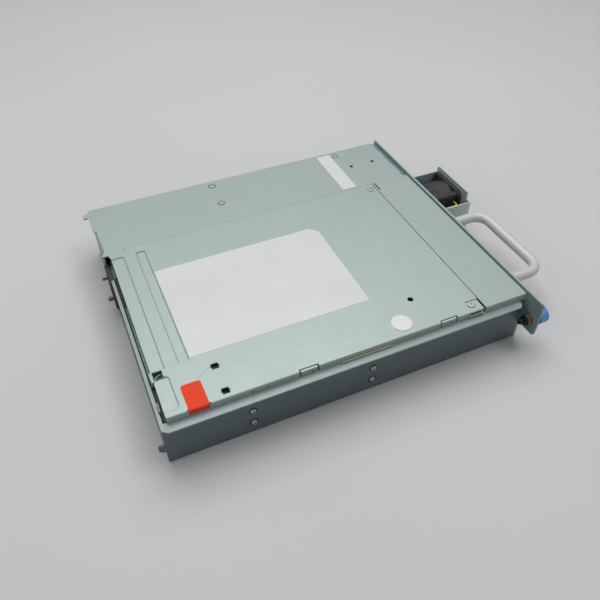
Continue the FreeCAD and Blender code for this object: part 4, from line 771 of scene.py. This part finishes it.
def dockContacts():
    spec = {"x": (-126.2, -125.35), "columns": (33.2, 39.2), "first": 15.6, "pitch": 1.27, "count": 11,
            "half": 0.3}
    sets = []
    for column in spec["columns"]:
        block((spec["x"][0], column - 1.2, spec["first"] - spec["half"]),
              (spec["x"][1], column + 1.2, spec["first"] + spec["half"]), 0.1)
        addModifier("ARRAY", count=spec["count"], use_relative_offset=False, use_constant_offset=True,
                    constant_offset_displace=(0, 0, spec["pitch"] * mm))
        sets.append(bpy.context.object)
    joinAll(sets)
    finishPiece("dock_contacts", "gilt", "sled")


labelSheet()
sideSheet()
roundDot()
orangeWrap()
print("labels laid")
coverHeads()
sideHeads()
sideSeats()
screwSeats()
gasketStrip()
frontGasket()
windowEdge()
flexLoop()
fanCorners()
print("screws and trim placed")
thumbs = {"near": (-115.8, 26.0), "far": (115.8, 12.0)}
for side, (y, z) in thumbs.items():
    coilSpring(side, y, z)
    knobGrip(side, y, z)
    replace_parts(finishPiece(f"{side}_grip", "blue", f"{side}_thumb"), f"{side}_knob")
    knobShank(side, y, z)
    finishPiece(f"{side}_shank", "oxide", f"{side}_thumb")
print("captive screws dressed")
portContacts()
dockContacts()
print("contacts set")


def stageFloor():
    clearPick()
    bpy.ops.mesh.primitive_plane_add(size=6, location=(0, 0, -0.0005))
    floor = bpy.context.object
    floor.name = "floor"
    finish = Finish("paleFloor", (0.62, 0.62, 0.61), 0.85)
    cloud = finish.noise(3, 2.0, 0.5)
    finish.feed(Base_Color=finish.blend(cloud, (0.60, 0.60, 0.59), (0.64, 0.64, 0.63)))
    floor.data.materials.append(finish.material)


def softLamp(name, place, aim, size, power, colour=(1, 1, 1)):
    lamp = bpy.data.objects.new(name, bpy.data.lights.new(name, "AREA"))
    lamp.data.shape = "RECTANGLE"
    lamp.data.size, lamp.data.size_y = size
    lamp.data.energy = power
    lamp.data.color = colour
    lamp.location = place
    lamp.rotation_euler = (Vector(aim) - Vector(place)).to_track_quat("-Z", "Y").to_euler()
    bpy.context.collection.objects.link(lamp)


lamps = {
    "overhead": {"place": (0.1, 0.4, 1.3), "aim": (0, 0, 0), "size": (1.2, 1.2), "power": 12},
    "left": {"place": (-1.1, -0.1, 0.8), "aim": (0, 0, 0), "size": (0.8, 0.8), "power": 2.2},
    "shoulder": {"place": (0.53, -0.36, 1.25), "aim": (0.1, 0, 0), "size": (0.5, 0.35), "power": 2.4},
}
stageFloor()
for lampName, lamp in lamps.items():
    softLamp(lampName, lamp["place"], lamp["aim"], lamp["size"], lamp["power"])
world = bpy.data.worlds.new("studio")
bpy.context.scene.world = world
world.use_nodes = True
world.node_tree.nodes["Background"].inputs["Color"].default_value = (0.9, 0.95, 1.0, 1)
world.node_tree.nodes["Background"].inputs["Strength"].default_value = 0.26

viewPoint = {"place": (-0.13542, -0.32062, 0.33356), "look": (0.2887, 0.6511, -0.7021), "lens": 37.1}
camera = bpy.data.objects.new("camera", bpy.data.cameras.new("camera"))
camera.location = viewPoint["place"]
camera.rotation_euler = Vector(viewPoint["look"]).to_track_quat("-Z", "Y").to_euler()
camera.data.lens = viewPoint["lens"]
camera.data.sensor_width = 36
camera.data.clip_start = 0.01
bpy.context.collection.objects.link(camera)
bpy.context.scene.camera = camera
bpy.context.scene.view_settings.view_transform = "Standard"
print("stage set")
